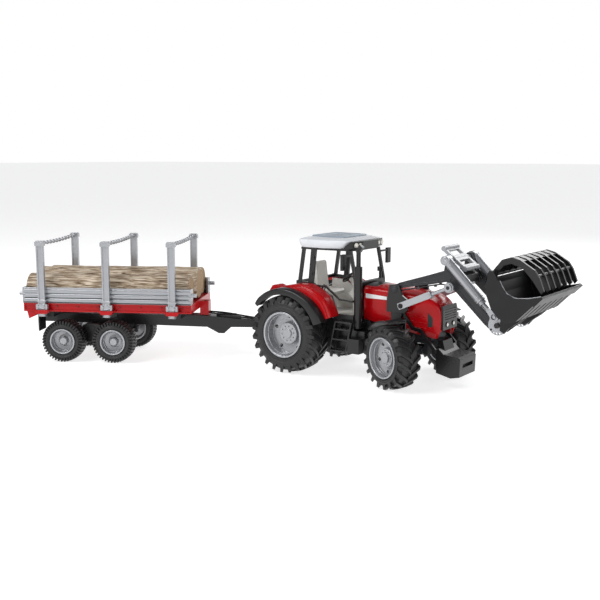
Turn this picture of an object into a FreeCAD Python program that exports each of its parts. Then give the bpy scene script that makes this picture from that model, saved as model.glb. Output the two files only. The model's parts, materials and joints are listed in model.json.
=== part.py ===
# Toy tractor with a front loader and a hitched timber trailer, scale 1:16, millimetres.
# Tractor frame: X forward from the rear axle, Y left, Z up from the ground.
# Trailer frame: X forward from the hitch pin, Y left, Z up from the ground.
import FreeCAD, Part
import os
import re
import Sketcher

doc = FreeCAD.newDocument("ToyTractor")
sheet = doc.addObject("Spreadsheet::Sheet", "sizes")

DRIVING_SIZES = {
    # running gear
    "wheelbase": 183.5, "rear_radius": 58.5, "rear_half_width": 21.5, "rear_centre": 66.25,
    "rear_rim": 34.0, "front_radius": 45.2, "front_half_width": 17.3, "front_centre": 71.6,
    "front_rim": 28.6, "kingpin_offset": 51.8, "steer_rest": -22.5, "stub_radius": 4.0,
    "running_gap": 0.1, "kingpin_radius": 2.5, "arm_reach": 14.0, "tie_height": 34.0,
    "guard_gap": 4.3,
    # chassis and hitch
    "gearbox_half": 26.0, "rail_half": 14.0, "rail_bottom": 57.0, "rail_top": 64.0,
    "hitch_reach": 68.8, "pin_radius": 3.5, "eye_bottom": 52.0, "eye_top": 59.0,
    # cab and body
    "cab_floor": 84.0, "cab_half": 50.0, "cab_top": 186.6, "cab_front": 100.0,
    "pillar_half": 40.0, "fender_radius": 65.0, "fender_inner": 50.0, "fender_outer": 74.0,
    "roof_half": 54.0, "roof_side": 11.0, "hatch_half": 26.0, "hood_half": 31.0,
    "hood_wall": 2.4, "hood_rear": 107.0, "nose_reach": 42.5, "exhaust_radius": 5.7,
    # loader, measured from the boom pivot
    "boom_back": 21.5, "boom_height": 135.0, "arm_inner": 31.0, "arm_thick": 5.5,
    "boom_pin": 3.0, "bucket_out": 155.0, "bucket_down": 35.0, "ram_out": 16.0,
    "ram_down": 21.0, "ram_eye_out": 87.0, "ram_eye_up": 10.0, "ram_centre": 47.0,
    "tilt_out": 80.0, "tilt_up": 46.0, "tilt_centre": 41.0, "tilt_barrel": 6.5,
    "crank_back": 4.5, "crank_up": 11.0, "disc_radius": 13.4, "bucket_half": 73.0,
    "sheet": 2.5, "ram_pin": 1.9, "ram_play": 3.1, "grapple_out": 3.0, "grapple_up": 71.0, "tine_pitch": 20.0,
    # trailer
    "trailer_yaw": 29.5, "bed_front": 128.0, "bed_length": 266.0, "bed_half": 70.6,
    "bed_bottom": 80.0, "bed_top": 93.5, "beam_half": 12.0, "bogie_back": 293.4,
    "axle_half_gap": 40.25, "trailer_radius": 33.1, "trailer_rim": 19.6,
    "trailer_outer": 73.0, "trailer_width": 25.0, "axle_radius": 3.0, "bogie_height": 50.0,
    "stake_inset": 32.5, "stake_pitch": 102.7, "stake_face": 73.8, "stake_depth": 6.4,
    "stake_top": 191.0, "stake_half": 5.5, "board_bottom": 96.0, "board_top": 118.0,
    "board_wall": 2.6, "log_radius": 22.0,
    # where the whole model's middle lies, measured once everything is built
    "middle_x": 0.0, "middle_y": 0.0, "ground": 0.0,
}
# the lift ram runs from its pin on the bracket to its pin on the boom, the tilt ram from the
# shaft over the knee to the crank pin beside the bucket pin
DERIVED_SIZES = {
    "ram_length": "=sqrt((ram_eye_out-ram_out)^2+(ram_down+ram_eye_up)^2)",
    "ram_swing": "=atan((ram_down+ram_eye_up)/(ram_eye_out-ram_out))/1deg",
    "tilt_length": "=sqrt((bucket_out-crank_back-tilt_out)^2+(tilt_up+bucket_down-crank_up)^2)",
    "tilt_swing": "=atan((tilt_up+bucket_down-crank_up)/(bucket_out-crank_back-tilt_out))/1deg",
}
ALL_SIZES = {**DRIVING_SIZES, **DERIVED_SIZES}
for row, (alias, number) in enumerate(ALL_SIZES.items(), start=1):
    sheet.set("A%d" % row, alias)
    sheet.set("B%d" % row, str(number))
    sheet.setAlias("B%d" % row, alias)
doc.recompute()

bodies = []


def bound(value):
    """A number or a sum of size names, as an expression that reads the sheet."""
    if not isinstance(value, str):
        return repr(float(value))
    return re.sub(r"[a-z_]+", lambda found: "sizes." + found.group(0)
                  if found.group(0) in ALL_SIZES else found.group(0), value)


def measured(value):
    if not isinstance(value, str):
        return float(value)
    return float(sheet.evalExpression(value))


def minus(value):
    return "-(%s)" % value


def times(factor, value):
    return "%s*(%s)" % (factor, value)


def new_body(label):
    body = doc.addObject("PartDesign::Body", label)
    body.AllowCompound = True
    bodies.append(body)
    return body


def origin_part(body, role):
    return [part for part in body.Origin.OriginFeatures if part.Role == role][0]


def new_sketch(body, plane, offset):
    sketch = body.newObject("Sketcher::SketchObject", body.Name + "_sketch")
    sketch.AttachmentSupport = [(origin_part(body, plane + "_Plane"), "")]
    sketch.MapMode = "FlatFace"
    sketch.setExpression("AttachmentOffset.Base.z", bound(offset))
    return sketch


def fix_point(sketch, geometry, end, across, up):
    for kind, value in (("DistanceX", across), ("DistanceY", up)):
        rule = sketch.addConstraint(
            Sketcher.Constraint(kind, -1, 1, geometry, end, measured(value)))
        if isinstance(value, str):
            sketch.setExpression("Constraints[%d]" % rule, bound(value))


def draw_outline(sketch, points):
    """A closed outline. A third entry on a point makes it the middle of an arc."""
    corners = [point for point in points if len(point) == 2]
    first = sketch.GeometryCount
    edges = []
    for index, point in enumerate(points):
        if len(point) == 3:
            continue
        after = points[(index + 1) % len(points)]
        target = points[(index + 2) % len(points)] if len(after) == 3 else after
        start, end = [FreeCAD.Vector(measured(p[0]), measured(p[1]), 0) for p in (point, target)]
        if len(after) == 3:
            middle = FreeCAD.Vector(measured(after[0]), measured(after[1]), 0)
            arc = Part.Arc(start, middle, end)
            edges.append((sketch.addGeometry(arc, False), after, start))
        else:
            edges.append((sketch.addGeometry(Part.LineSegment(start, end), False), None, start))
    ends = []
    for geometry, via, start in edges:
        near = sketch.getPoint(geometry, 1).distanceToPoint(start) < 1e-4
        ends.append((1, 2) if near else (2, 1))
    for index in range(len(edges)):
        following = (index + 1) % len(edges)
        sketch.addConstraint(Sketcher.Constraint(
            "Coincident", first + index, ends[index][1], first + following, ends[following][0]))
    for index, (across, up) in enumerate(corners):
        fix_point(sketch, first + index, ends[index][0], across, up)
    for geometry, via, start in edges:
        if via is None:
            continue
        middle = FreeCAD.Vector(measured(via[0]), measured(via[1]), 0)
        mark = sketch.addGeometry(Part.Point(middle), True)
        sketch.addConstraint(Sketcher.Constraint("PointOnObject", mark, 1, geometry))
        fix_point(sketch, mark, 1, via[0], via[1])


def extrude(body, sketch, length, cut):
    kind = "PartDesign::Pocket" if cut else "PartDesign::Pad"
    feature = body.newObject(kind, body.Name + ("_cut" if cut else "_pad"))
    feature.Profile = sketch
    feature.Reversed = cut
    feature.setExpression("Length", bound(length))
    return feature


def start_of(plane, low, high):
    return minus(high) if plane == "XZ" else low


def slab(body, plane, points, low, high, cut=False):
    """A plate with this outline on XY, XZ or YZ, from low to high on the third axis."""
    sketch = new_sketch(body, plane, start_of(plane, low, high))
    draw_outline(sketch, points)
    return extrude(body, sketch, "(%s)-(%s)" % (high, low), cut)


def rods(body, plane, centres, radius, low, high, cut=False):
    """Round bars, or holes, that stand on a plane at these centres."""
    sketch = new_sketch(body, plane, start_of(plane, low, high))
    for across, up in centres:
        middle = FreeCAD.Vector(measured(across), measured(up), 0)
        circle = Part.Circle(middle, FreeCAD.Vector(0, 0, 1), measured(radius))
        geometry = sketch.addGeometry(circle, False)
        rule = sketch.addConstraint(Sketcher.Constraint("Radius", geometry, measured(radius)))
        if isinstance(radius, str):
            sketch.setExpression("Constraints[%d]" % rule, bound(radius))
        fix_point(sketch, geometry, 3, across, up)
    return extrude(body, sketch, "(%s)-(%s)" % (high, low), cut)


def turned(body, plane, axis, points, offset=0):
    """A solid of revolution: the outline on a plane, turned about an axis of the body."""
    sketch = new_sketch(body, plane, offset)
    draw_outline(sketch, points)
    feature = body.newObject("PartDesign::Revolution", body.Name + "_turn")
    feature.Profile = sketch
    feature.ReferenceAxis = (origin_part(body, axis + "_Axis"), [""])
    feature.Angle = 360
    return feature


def box(body, x_range, y_range, z_range, cut=False):
    (x_low, x_high), (y_low, y_high) = x_range, y_range
    outline = [(x_low, y_low), (x_high, y_low), (x_high, y_high), (x_low, y_high)]
    return slab(body, "XY", outline, z_range[0], z_range[1], cut)


def span(side, near, far):
    """The Y range of a piece on one side: side is -1 on the right and 1 on the left."""
    if side < 0:
        return minus(far), minus(near)
    return near, far


def strip(start, end, half):
    """Four corners of a straight bar of this half width between two points."""
    along = FreeCAD.Vector(end[0] - start[0], end[1] - start[1], 0).normalize()
    across = FreeCAD.Vector(-along.y, along.x, 0) * half
    return [(point[0] + sign * across.x, point[1] + sign * across.y)
            for point, sign in ((start, 1), (start, -1), (end, -1), (end, 1))]


def ring_points(count, radius, turn=0):
    """Centres evenly spaced on a circle, as expressions."""
    steps = [turn + 360.0 * index / count for index in range(count)]
    return [("(%s)*cos(%s)" % (radius, step), "(%s)*sin(%s)" % (radius, step)) for step in steps]


def place(body, x=0, y=0, z=0, turn=None, axis=(0, 0, 1)):
    """Puts a body in the tractor frame, shifted so that the model's middle is the origin."""
    if turn is not None:
        body.Placement = FreeCAD.Placement(
            FreeCAD.Vector(), FreeCAD.Rotation(FreeCAD.Vector(*axis), measured(turn)))
        body.setExpression("Placement.Rotation.Angle", bound(turn))
    for letter, value, middle in (("x", x, "middle_x"), ("y", y, "middle_y"), ("z", z, "ground")):
        body.setExpression("Placement.Base." + letter, bound("(%s)-%s" % (value, middle)))


def place_trailer(body, x=0, z=0):
    """Puts a body drawn at x behind the hitch pin on the swung trailer."""
    place(body, "-hitch_reach+cos(trailer_yaw)*(%s)" % x, "sin(trailer_yaw)*(%s)" % x, z,
          "trailer_yaw")


SIDES = ((-1, "right"), (1, "left"))


# ---- wheels -------------------------------------------------------------------------------

def tyre_outline(half, rim, radius, bead, shoulder, middle=0):
    """Half section of a tyre, y across and z up, centred on middle."""
    left = [("%s-(%s)" % (middle, half), rim), ("%s-(%s)" % (middle, half), "(%s)+%s" % (rim, bead)),
            ("%s-(%s)+%s" % (middle, half, shoulder), radius)]
    right = [("%s+(%s)-%s" % (middle, half, shoulder), radius),
             ("%s+(%s)" % (middle, half), "(%s)+%s" % (rim, bead)), ("%s+(%s)" % (middle, half), rim)]
    return left + right


def rim_outline(side, half, rim, lip, dish, plate, boss, cap, depth):
    """Half section of a dished rim with a blind bore for the stub axle."""
    bore = "stub_radius+running_gap"
    inward = [(0, rim), (0, "%s-%s" % (rim, lip)), (dish, "%s-%s" % (rim, lip + 2)),
              (dish + 3, boss[0]), (boss[1], boss[0] - 1.5), (boss[1], cap[0]),
              (cap[1], cap[0] - 0.5), (cap[1], 0), (cap[1] + 4, 0), (cap[1] + 4, bore),
              (depth, bore), (depth, 9), (plate, 11), (plate, "%s-%s" % (rim, lip + 2))]
    outline = [(times(side, "%s-%s" % (half, into)), radius) for into, radius in inward]
    return outline + [(times(side, "-(%s)" % half), "%s-%s" % (rim, lip)),
                      (times(side, "-(%s)" % half), rim)]


def make_rear_wheel(side, word):
    tyre = new_body("rear_tyre_" + word)
    turned(tyre, "YZ", "Y", tyre_outline("rear_half_width", "rear_rim", "rear_radius", 13, 8))
    rim = new_body("rear_rim_" + word)
    turned(rim, "YZ", "Y", rim_outline(side, "rear_half_width", "rear_rim", 2.5, 18, 25,
                                       (17, 15), (7, 13), 36))
    low, high = span(side, "rear_half_width-27", "rear_half_width")
    rods(rim, "XZ", ring_points(5, 25.4, 18), 2.8, low, high, cut=True)
    low, high = span(side, "rear_half_width-18", "rear_half_width")
    rods(rim, "XZ", ring_points(10, 11, 9), 1.0, low, high, cut=True)
    for body in (tyre, rim):
        place(body, 0, times(side, "rear_centre"), "rear_radius")


def place_at_kingpin(body, side, out=0, z="front_radius"):
    """Puts a body on the steered axle end, out along the stub axle from the kingpin."""
    place(body, "wheelbase-sin(steer_rest)*%s*(%s)" % (side, out),
          "%s*(kingpin_offset)+cos(steer_rest)*%s*(%s)" % (side, side, out), z, "steer_rest")


def make_front_wheel(side, word):
    tyre = new_body("front_tyre_" + word)
    turned(tyre, "YZ", "Y", tyre_outline("front_half_width", "front_rim", "front_radius", 9, 5))
    rim = new_body("front_rim_" + word)
    turned(rim, "YZ", "Y", rim_outline(side, "front_half_width", "front_rim", 2.1, 10, 17,
                                       (14, 8), (7.5, 5), 26))
    low, high = span(side, "front_half_width-19", "front_half_width")
    rods(rim, "XZ", ring_points(5, 20.4, 54), 2.6, low, high, cut=True)
    low, high = span(side, "front_half_width-10", "front_half_width")
    rods(rim, "XZ", ring_points(8, 10, 12), 0.8, low, high, cut=True)
    for body in (tyre, rim):
        place_at_kingpin(body, side, "front_centre-kingpin_offset")


# ---- front axle and steering --------------------------------------------------------------

def make_front_axle():
    axle = new_body("front_axle")
    yoke = "kingpin_offset+6"
    box(axle, ("-5.5", "5.5"), ("-(kingpin_offset)+9", "kingpin_offset-9"), (-6, 6))
    for side, word in SIDES:
        low, high = span(side, "kingpin_offset-14", yoke)
        for bottom, top in ((-12.4, -9.2), (9.2, 12.4)):
            box(axle, (-6, 6), (low, high), (bottom, top))
        low, high = span(side, "kingpin_offset-14", "kingpin_offset-9")
        box(axle, (-6, 6), (low, high), (-12.4, 12.4))
        rods(axle, "XY", [(0, times(side, "kingpin_offset"))], "kingpin_radius+running_gap",
             -14, 14, cut=True)
    rods(axle, "YZ", [(0, 0)], 8, -8, 8)
    rods(axle, "YZ", [(0, 0)], "stub_radius+running_gap", -9, 9, cut=True)
    place(axle, "wheelbase", 0, "front_radius")


def make_knuckle(side, word):
    knuckle = new_body("steering_knuckle_" + word)
    rods(knuckle, "XY", [(0, 0)], 6, -8.9, 8.9)
    rods(knuckle, "XY", [(0, 0)], "kingpin_radius", -13.5, 18)
    low, high = span(side, 0, "front_centre-kingpin_offset+front_half_width-9.5")
    rods(knuckle, "XZ", [(0, 0)], "stub_radius", low, high)
    # steering arm with its tie rod pin
    arm_low, arm_high = "tie_height-front_radius+3.2", "tie_height-front_radius+6.2"
    box(knuckle, ("-arm_reach-3", 4), (-4, 4), (arm_low, arm_high))
    rods(knuckle, "XY", [("-arm_reach", 0)], 1.8, "tie_height-front_radius-3", arm_high)
    # mudguard: a plate up the inner side of the tyre, then a thin arc over the tread
    low, high = span(side, "-0.9", "1.1")
    box(knuckle, (-5, 5), (low, high), (13.2, "front_radius+guard_gap+0.8"))
    outline = []
    front_end, crest, rear_end = 76, 107, 138
    for radius, order in (("front_radius+guard_gap+1.6", (front_end, crest, rear_end)),
                          ("front_radius+guard_gap", (rear_end, crest, front_end))):
        for step in order:
            point = ("(%s)*cos(%s)" % (radius, step), "(%s)*sin(%s)" % (radius, step))
            outline.append(point + ("via",) if step == crest else point)
    low, high = span(side, "front_centre-kingpin_offset-front_half_width+3.5",
                     "front_centre-kingpin_offset+front_half_width-4")
    slab(knuckle, "XZ", outline, low, high)
    low, high = span(side, "-0.9", "8")
    box(knuckle, (-5, 5), (low, high), ("front_radius+guard_gap", "front_radius+guard_gap+1.6"))
    place_at_kingpin(knuckle, side)


def make_tie_rod():
    rod = new_body("tie_rod")
    # the pins sit behind the kingpins, swung with them, in slots that leave them free
    across = "-arm_reach*sin(steer_rest)"
    back = "-arm_reach*cos(steer_rest)"
    box(rod, ("(%s)-2" % back, "(%s)+2" % back), ("%s-kingpin_offset" % across,
        "%s+kingpin_offset" % across), (-2, 2))
    for side, word in SIDES:
        centre = "%s+%s*(kingpin_offset)" % (across, side)
        box(rod, ("(%s)-6.4" % back, "(%s)+6.4" % back), ("(%s)-5" % centre, "(%s)+5" % centre),
            (-2, 2))
        box(rod, ("(%s)-4.2" % back, "(%s)+4.2" % back), ("(%s)-2.8" % centre,
            "(%s)+2.8" % centre), (-3, 3), cut=True)
    place(rod, "wheelbase", 0, "tie_height")


# ---- chassis ------------------------------------------------------------------------------

def make_chassis():
    chassis = new_body("tractor_chassis")
    half = "gearbox_half"
    slab(chassis, "XZ", [(-30, 44), (-24, 36), (118, 36), (122, 48), (122, "rail_top"),
                         (112, "cab_floor"), (-6, "cab_floor"), (-30, 74)], minus(half), half)
    slab(chassis, "XZ", [(118, 50), ("wheelbase-20", "rail_bottom"), ("wheelbase+34", "rail_bottom"),
                         ("wheelbase+34", "rail_top"), (118, "rail_top")], "-rail_half", "rail_half")
    # rear axle housing, shoulders and stub axles
    inner = "rear_centre-rear_half_width"
    end = "rear_centre+rear_half_width-17.5"
    for radius, reach in ((12, inner + "-1.2"), (7, "rear_centre+rear_half_width-36.6"),
                          ("stub_radius", end)):
        rods(chassis, "XZ", [(0, "rear_radius")], radius, minus(reach), reach)
    # front axle hanger: two lugs and the rocking pin between them
    for low, high in ((-15, -8.8), (8.8, 15)):
        slab(chassis, "XZ", [("wheelbase+%s" % low, "front_radius-6"),
                             ("wheelbase+%s" % high, "front_radius-6"),
                             ("wheelbase+%s" % high, "rail_top"),
                             ("wheelbase+%s" % low, "rail_top")], -7, 7)
    rods(chassis, "YZ", [(0, "front_radius")], "stub_radius", "wheelbase-15", "wheelbase+15")
    # tow jaw: two plates joined by a web well ahead of the pin
    reach = "-hitch_reach-8"
    for low, high in (("eye_bottom-5.5", "eye_bottom-0.6"), ("eye_top+0.6", "eye_top+5.5")):
        box(chassis, (reach, -28), (-8, 8), (low, high))
    box(chassis, ("-hitch_reach+13", -28), (-8, 8), ("eye_bottom-5.5", "eye_top+5.5"))
    rods(chassis, "XY", [("-hitch_reach", 0)], "pin_radius+running_gap", "eye_bottom-8",
         "eye_top+8", cut=True)
    place(chassis)


def make_hitch_pin():
    pin = new_body("hitch_pin")
    rods(pin, "XY", [(0, 0)], "pin_radius", "eye_bottom-8", "eye_top+6")
    rods(pin, "XY", [(0, 0)], 5.5, "eye_top+5.8", "eye_top+8.5")
    slab(pin, "XZ", [(-5, "eye_top+8"), (-5, "eye_top+14"), (5, "eye_top+14"), (5, "eye_top+8")],
         -1.2, 1.2)
    rods(pin, "XZ", [(0, "eye_top+11")], 1.6, -3, 3, cut=True)
    place(pin, "-hitch_reach")


def make_front_weight():
    weight = new_body("front_weight")
    slab(weight, "XZ", [("wheelbase+34", 44), ("wheelbase+34", "rail_top"), ("wheelbase+42", "rail_top"),
                        ("wheelbase+47", 46), ("wheelbase+47", 40)], -14, 14)
    slab(weight, "XZ", [("wheelbase+36", 55), ("wheelbase+41", 55), ("wheelbase+49", 47.5),
                        ("wheelbase+72", 45.5), ("wheelbase+74.5", 42.5), ("wheelbase+73.5", 18),
                        ("wheelbase+60", 15), ("wheelbase+38", 20)], -25, 25)
    box(weight, ("wheelbase+69", "wheelbase+78"), (-16, 16), (30, 35.5), cut=True)
    place(weight)


# ---- engine and hood ----------------------------------------------------------------------

def make_engine():
    engine = new_body("engine_block")
    box(engine, (124, "wheelbase+16"), (-15, 15), ("rail_top", 104))
    box(engine, (132, "wheelbase+6"), (-11, 11), (104, 113))
    box(engine, ("wheelbase+22", "wheelbase+28"), (-21, 21), ("rail_top", 108))
    for side, word in SIDES:
        low, high = span(side, 15, 18)
        rods(engine, "XZ", [(138 + 12 * index, 92) for index in range(4)], 3.5, low, high)
    rods(engine, "YZ", [(0, 84)], 10, "wheelbase+16", "wheelbase+22")
    place(engine)


def hood_outline(wall):
    """Side view of the hood, moved in by a wall; the bottom stays open."""
    nose = "wheelbase+nose_reach"
    top, front = -wall, -wall
    drop = -6 if wall else 0
    return [("hood_rear+%s" % wall, 86 + 3 * drop), ("hood_rear+%s" % (wall - 1.4), 136.6 + top),
            (160, 133.4 + top), ("wheelbase+17", 128.4 + top),
            ("wheelbase+35+%s" % (front * 0.7), 121.5 + top * 0.7, "via"),
            (nose + "+%s" % front, 108), (nose + "+%s" % front, 80),
            ("wheelbase+38+%s" % front, 67.5 + 3 * drop)]


def hood_plan(sign, inset):
    """The strip to trim off one flank, so that the hood narrows towards the nose."""
    near = lambda x, y: (x, times(sign, "hood_half-%s-%s" % (y, inset)))
    wide = times(sign, "hood_half+9")
    return [(100, wide), near(100, 0), near(150, 0.8), near("wheelbase+21", 3), near("wheelbase+38", 7.5),
            near("wheelbase+50", 9.5), ("wheelbase+50", wide)]


def make_hood():
    hood = new_body("hood")
    slab(hood, "XZ", hood_outline(0), "-hood_half", "hood_half")
    for sign in (-1, 1):
        slab(hood, "XY", hood_plan(sign, 0), 50, 150, cut=True)
        # the shoulders slope from the flanks up to a flat top
        shoulder = [(times(sign, "hood_half-9"), 139), (times(sign, "hood_half+3"), 120),
                    (times(sign, "hood_half+3"), 139)]
        slab(hood, "YZ", shoulder, 100, "wheelbase+60", cut=True)
    inner = "hood_half-hood_wall"
    slab(hood, "XZ", hood_outline(2.4), "-(%s)+7" % inner, "%s-7" % inner, cut=True)
    slab(hood, "XY", [("hood_rear+hood_wall", minus(inner)), (150, "-(%s)+0.8" % inner),
                      ("wheelbase+20", "-(%s)+3.5" % inner), ("wheelbase+20", "%s-3.5" % inner),
                      (150, "%s-0.8" % inner), ("hood_rear+hood_wall", inner)], 50, 112, cut=True)
    slab(hood, "YZ", [(minus(inner), 50), (inner, 50), (inner, 125), (minus(inner), 125)], 100,
         "hood_rear+hood_wall+1", cut=True)
    # louvres low on each flank
    for side in (-1, 1):
        low, high = span(side, "hood_half-4", "hood_half+2")
        for row in range(3):
            base = 84 + 7 * row
            slab(hood, "XZ", [("wheelbase-8", base), ("wheelbase+17", base - 2),
                              ("wheelbase+17", base + 1), ("wheelbase-8", base + 3)],
                 low, high, cut=True)
    place(hood)


def make_grille():
    grille = new_body("grille")
    nose = "wheelbase+nose_reach"
    slab(grille, "XZ", [(nose, 80), (nose, 108), ("%s-1" % nose, 113.5), ("%s+1.4" % nose, 114),
                        ("%s+3" % nose, 108), ("%s+3" % nose, 80)], -21.5, 21.5)
    slab(grille, "XZ", [("%s-4" % nose, 108), ("%s-4" % nose, 116), ("%s-0.6" % nose, 116),
                        (nose, 108)], -30, 30, cut=True)
    rods(grille, "YZ", [(-9.4, 87), (9.4, 87)], 4.2, "%s-2" % nose, "%s+5" % nose, cut=True)
    for row in range(5):
        slab(grille, "YZ", [(-17, 94 + 3.4 * row), (17, 94 + 3.4 * row), (17, 95.4 + 3.4 * row),
                            (-17, 95.4 + 3.4 * row)], "%s+1.6" % nose, "%s+4" % nose, cut=True)
    place(grille)
    lights = new_body("headlights")
    rods(lights, "YZ", [(-9.4, 87), (9.4, 87)], 4.2, nose, "%s+2.6" % nose)
    rods(lights, "YZ", [(-9.4, 87), (9.4, 87)], 3.4, "%s+2.6" % nose, "%s+4" % nose)
    place(lights)


def make_exhaust():
    stack = new_body("exhaust_stack")
    across = "-pillar_half-6.2"
    along = "cab_front+5.8"
    rods(stack, "XY", [(along, across)], "exhaust_radius", 74, 163)
    rods(stack, "XY", [(along, across)], "exhaust_radius-2.4", 163, 184)
    slab(stack, "XZ", [("%s-3.2" % along, 184), ("%s+3.2" % along, 184), ("%s+8" % along, 191),
                       ("%s+3" % along, 195)], "-pillar_half-9.4", "-pillar_half-3")
    # elbow under the hood to the side of the engine
    box(stack, ("%s-3" % along, "%s+3" % along), (across, "-gearbox_half"), (74, 81))
    place(stack)


# ---- cab ----------------------------------------------------------------------------------

def make_cab_frame():
    frame = new_body("cab_frame")
    top = 183.4
    # header ring, narrower at the windscreen
    outer = [(8, minus("cab_half")), (8, "cab_half"), (32, "cab_half"), (86, "pillar_half+1"),
             (92, 30), (92, -30), (86, "-pillar_half-1"), (32, minus("cab_half"))]
    slab(frame, "XY", outer, top, "cab_top")
    inner = [(13, "-cab_half+4"), (13, "cab_half-4"), (31, "cab_half-4"), (84, "pillar_half-4"),
             (88, 28), (88, -28), (84, "-pillar_half+4"), (31, "-cab_half+4")]
    slab(frame, "XY", inner, top - 1, "cab_top+1", cut=True)
    for side, word in SIDES:
        low, high = span(side, "cab_half-4", "cab_half")
        slab(frame, "XZ", strip((4, 132), (12, top + 1), 2.4), low, high)
        slab(frame, "XZ", strip((24.5, 131), (30, top + 1), 4.2), low, high)
        # waist rail, then the door's sloping rear edge down to the sill
        slab(frame, "XZ", [(-1, 136), (28, 134.5), (62, 117), (72, 92), ("cab_front", 92),
                           ("cab_front", "cab_floor"), (66, "cab_floor"), (66, 90), (58, 113),
                           (27, 130), (-1, 131)], low, high)
        low, high = span(side, "pillar_half-3.5", "pillar_half+0.5")
        slab(frame, "XZ", [(85, top + 1), (89.5, top + 1), ("cab_front-1", 138),
                           ("cab_front", "cab_floor"), ("cab_front-5", "cab_floor"),
                           ("cab_front-5.5", 138)], low, high)
        low, high = span(side, "pillar_half-3.5", "cab_half")
        box(frame, ("cab_front-5", "cab_front"), (low, high), ("cab_floor", 92))
        # grab bar across the door opening
        low, high = span(side, "cab_half-3.2", "cab_half-0.8")
        slab(frame, "XZ", strip((26, 131), (52, 130), 1.2), low, high)
        slab(frame, "XZ", strip((51, 130.6), (76, 113), 1.2), low, high)
        slab(frame, "XZ", strip((75.5, 113.2), (98, 112), 1.2), low, high)
        low, high = span(side, "pillar_half", "cab_half-0.8")
        box(frame, (95.6, 98), (low, high), (110.8, 113.2))
    # rear window ledge, bulkhead and cowl
    box(frame, (-1, 3), ("-cab_half+2", "cab_half-2"), (131, 135.5))
    box(frame, ("cab_front-3", "cab_front"), ("-pillar_half+1", "pillar_half-1"),
        ("cab_floor", 134))
    slab(frame, "XZ", [("cab_front-4", 134), ("cab_front-2", 139.5), ("hood_rear-4.5", 138.7),
                       ("hood_rear-4.5", 134)], -30, 30)
    # air intake on its stalk
    rods(frame, "XY", [("hood_rear-7", 24)], 2, 138, 150)
    rods(frame, "XY", [("hood_rear-7", 24)], 4.4, 150, 156)
    place(frame)


def make_interior():
    tub = new_body("cab_interior")
    inner = "rear_centre-rear_half_width-0.7"
    box(tub, (4, "cab_front-5.4"), ("-(%s)" % inner, inner), ("cab_floor", "cab_floor+3"))
    for side, word in SIDES:
        low, high = span(side, "cab_half-11", inner)
        slab(tub, "XZ", [(4, "cab_floor+2"), (4, 130), (26, 129), (56, 111.5), (65, 88),
                         (65, "cab_floor+2")], low, high)
        low, high = span(side, 30, inner)
        slab(tub, "XZ", [(4, "cab_floor+2"), (4, 118), (22, 117), (48, 100), (54, 88),
                         (54, "cab_floor+2")], low, high)
    box(tub, (76, "cab_front-5.4"), (-13, 13), ("cab_floor+2", 118))
    slab(tub, "XZ", [(70, 118), (76, 112), ("cab_front-5.4", 112), ("cab_front-5.4", 131),
                     (82, 131)], -16, 16)
    slab(tub, "XZ", strip((78, 119.5), (63.03, 138.29), 2.2), -2.2, 2.2)
    # ribs of the floor mat
    for step in range(4):
        low = 58 + 5 * step
        box(tub, (low, low + 2.2), (-24, 24), ("cab_floor+2.5", "cab_floor+4"))
    place(tub)


def make_seat():
    seat = new_body("seat")
    box(seat, (12, 34), (-8, 8), ("cab_floor+3", 112))
    slab(seat, "XZ", [(8, 112), (40, 112), (43, 117), (40, 120), (12, 119)], -15, 15)
    slab(seat, "XZ", [(6, 112), (14, 112), (15, 119), (10, 158), (6, 161, "via"), (2, 158)],
         -14, 14)
    place(seat)


def make_steering_wheel():
    wheel = new_body("steering_wheel")
    turned(wheel, "XZ", "Z", [(9.4, 0), (11, 1.6, "via"), (12.6, 0), (11, -1.6, "via")])
    for step in (90, 210, 330):
        across = FreeCAD.Rotation(step, 0, 0).multVec(FreeCAD.Vector(10, 0, 0))
        slab(wheel, "XY", strip((0, 0), (across.x, across.y), 1.2), -0.8, 0.8)
    rods(wheel, "XY", [(0, 0)], 2.8, -2.4, 1.6)
    place(wheel, 61.5, 0, 140.2, -38.66, (0, 1, 0))


def make_roof():
    roof = new_body("cab_roof")
    base = "cab_top"
    step = "cab_top+roof_side"
    slab(roof, "XZ", [(2, base), (80, base), (90, step), (86, "%s+3.4" % step), (14, "%s+3.8" % step),
                      (5, step)], "-roof_half", "roof_half")
    for sign in (-1, 1):
        # the top slopes in from the side walls, and the plan narrows to the front
        slab(roof, "YZ", [(times(sign, "roof_half+1"), step), (times(sign, "roof_half-9"),
                          "%s+4.6" % step), (times(sign, "roof_half+1"), "%s+4.6" % step)],
             -5, 110, cut=True)
        slab(roof, "XY", [(50, times(sign, "roof_half+4")), (50, times(sign, "roof_half")),
                          (94, times(sign, "roof_half-9")), (94, times(sign, "roof_half+4"))],
             150, 230, cut=True)
    box(roof, (8, 78), ("-roof_half+5", "roof_half-5"), (base, "%s-3" % step), cut=True)
    box(roof, (22, 66), ("-hatch_half+4", "hatch_half-4"), (base, "%s+6" % step), cut=True)
    box(roof, (17, 72), ("-hatch_half-0.4", "hatch_half+0.4"), ("%s+1.4" % step, "%s+6" % step),
        cut=True)
    place(roof)
    hatch = new_body("roof_hatch")
    slab(hatch, "XZ", [(-54.2, 0), (-0.6, 0), (-0.6, 2.4), (-26, 4.2), (-54.2, 2.6)], "-hatch_half",
         "hatch_half")
    box(hatch, (-48, -8), ("-hatch_half+5", "hatch_half-5"), (-2, 1), cut=True)
    place(hatch, 72, 0, "%s+1.6" % step)


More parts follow.
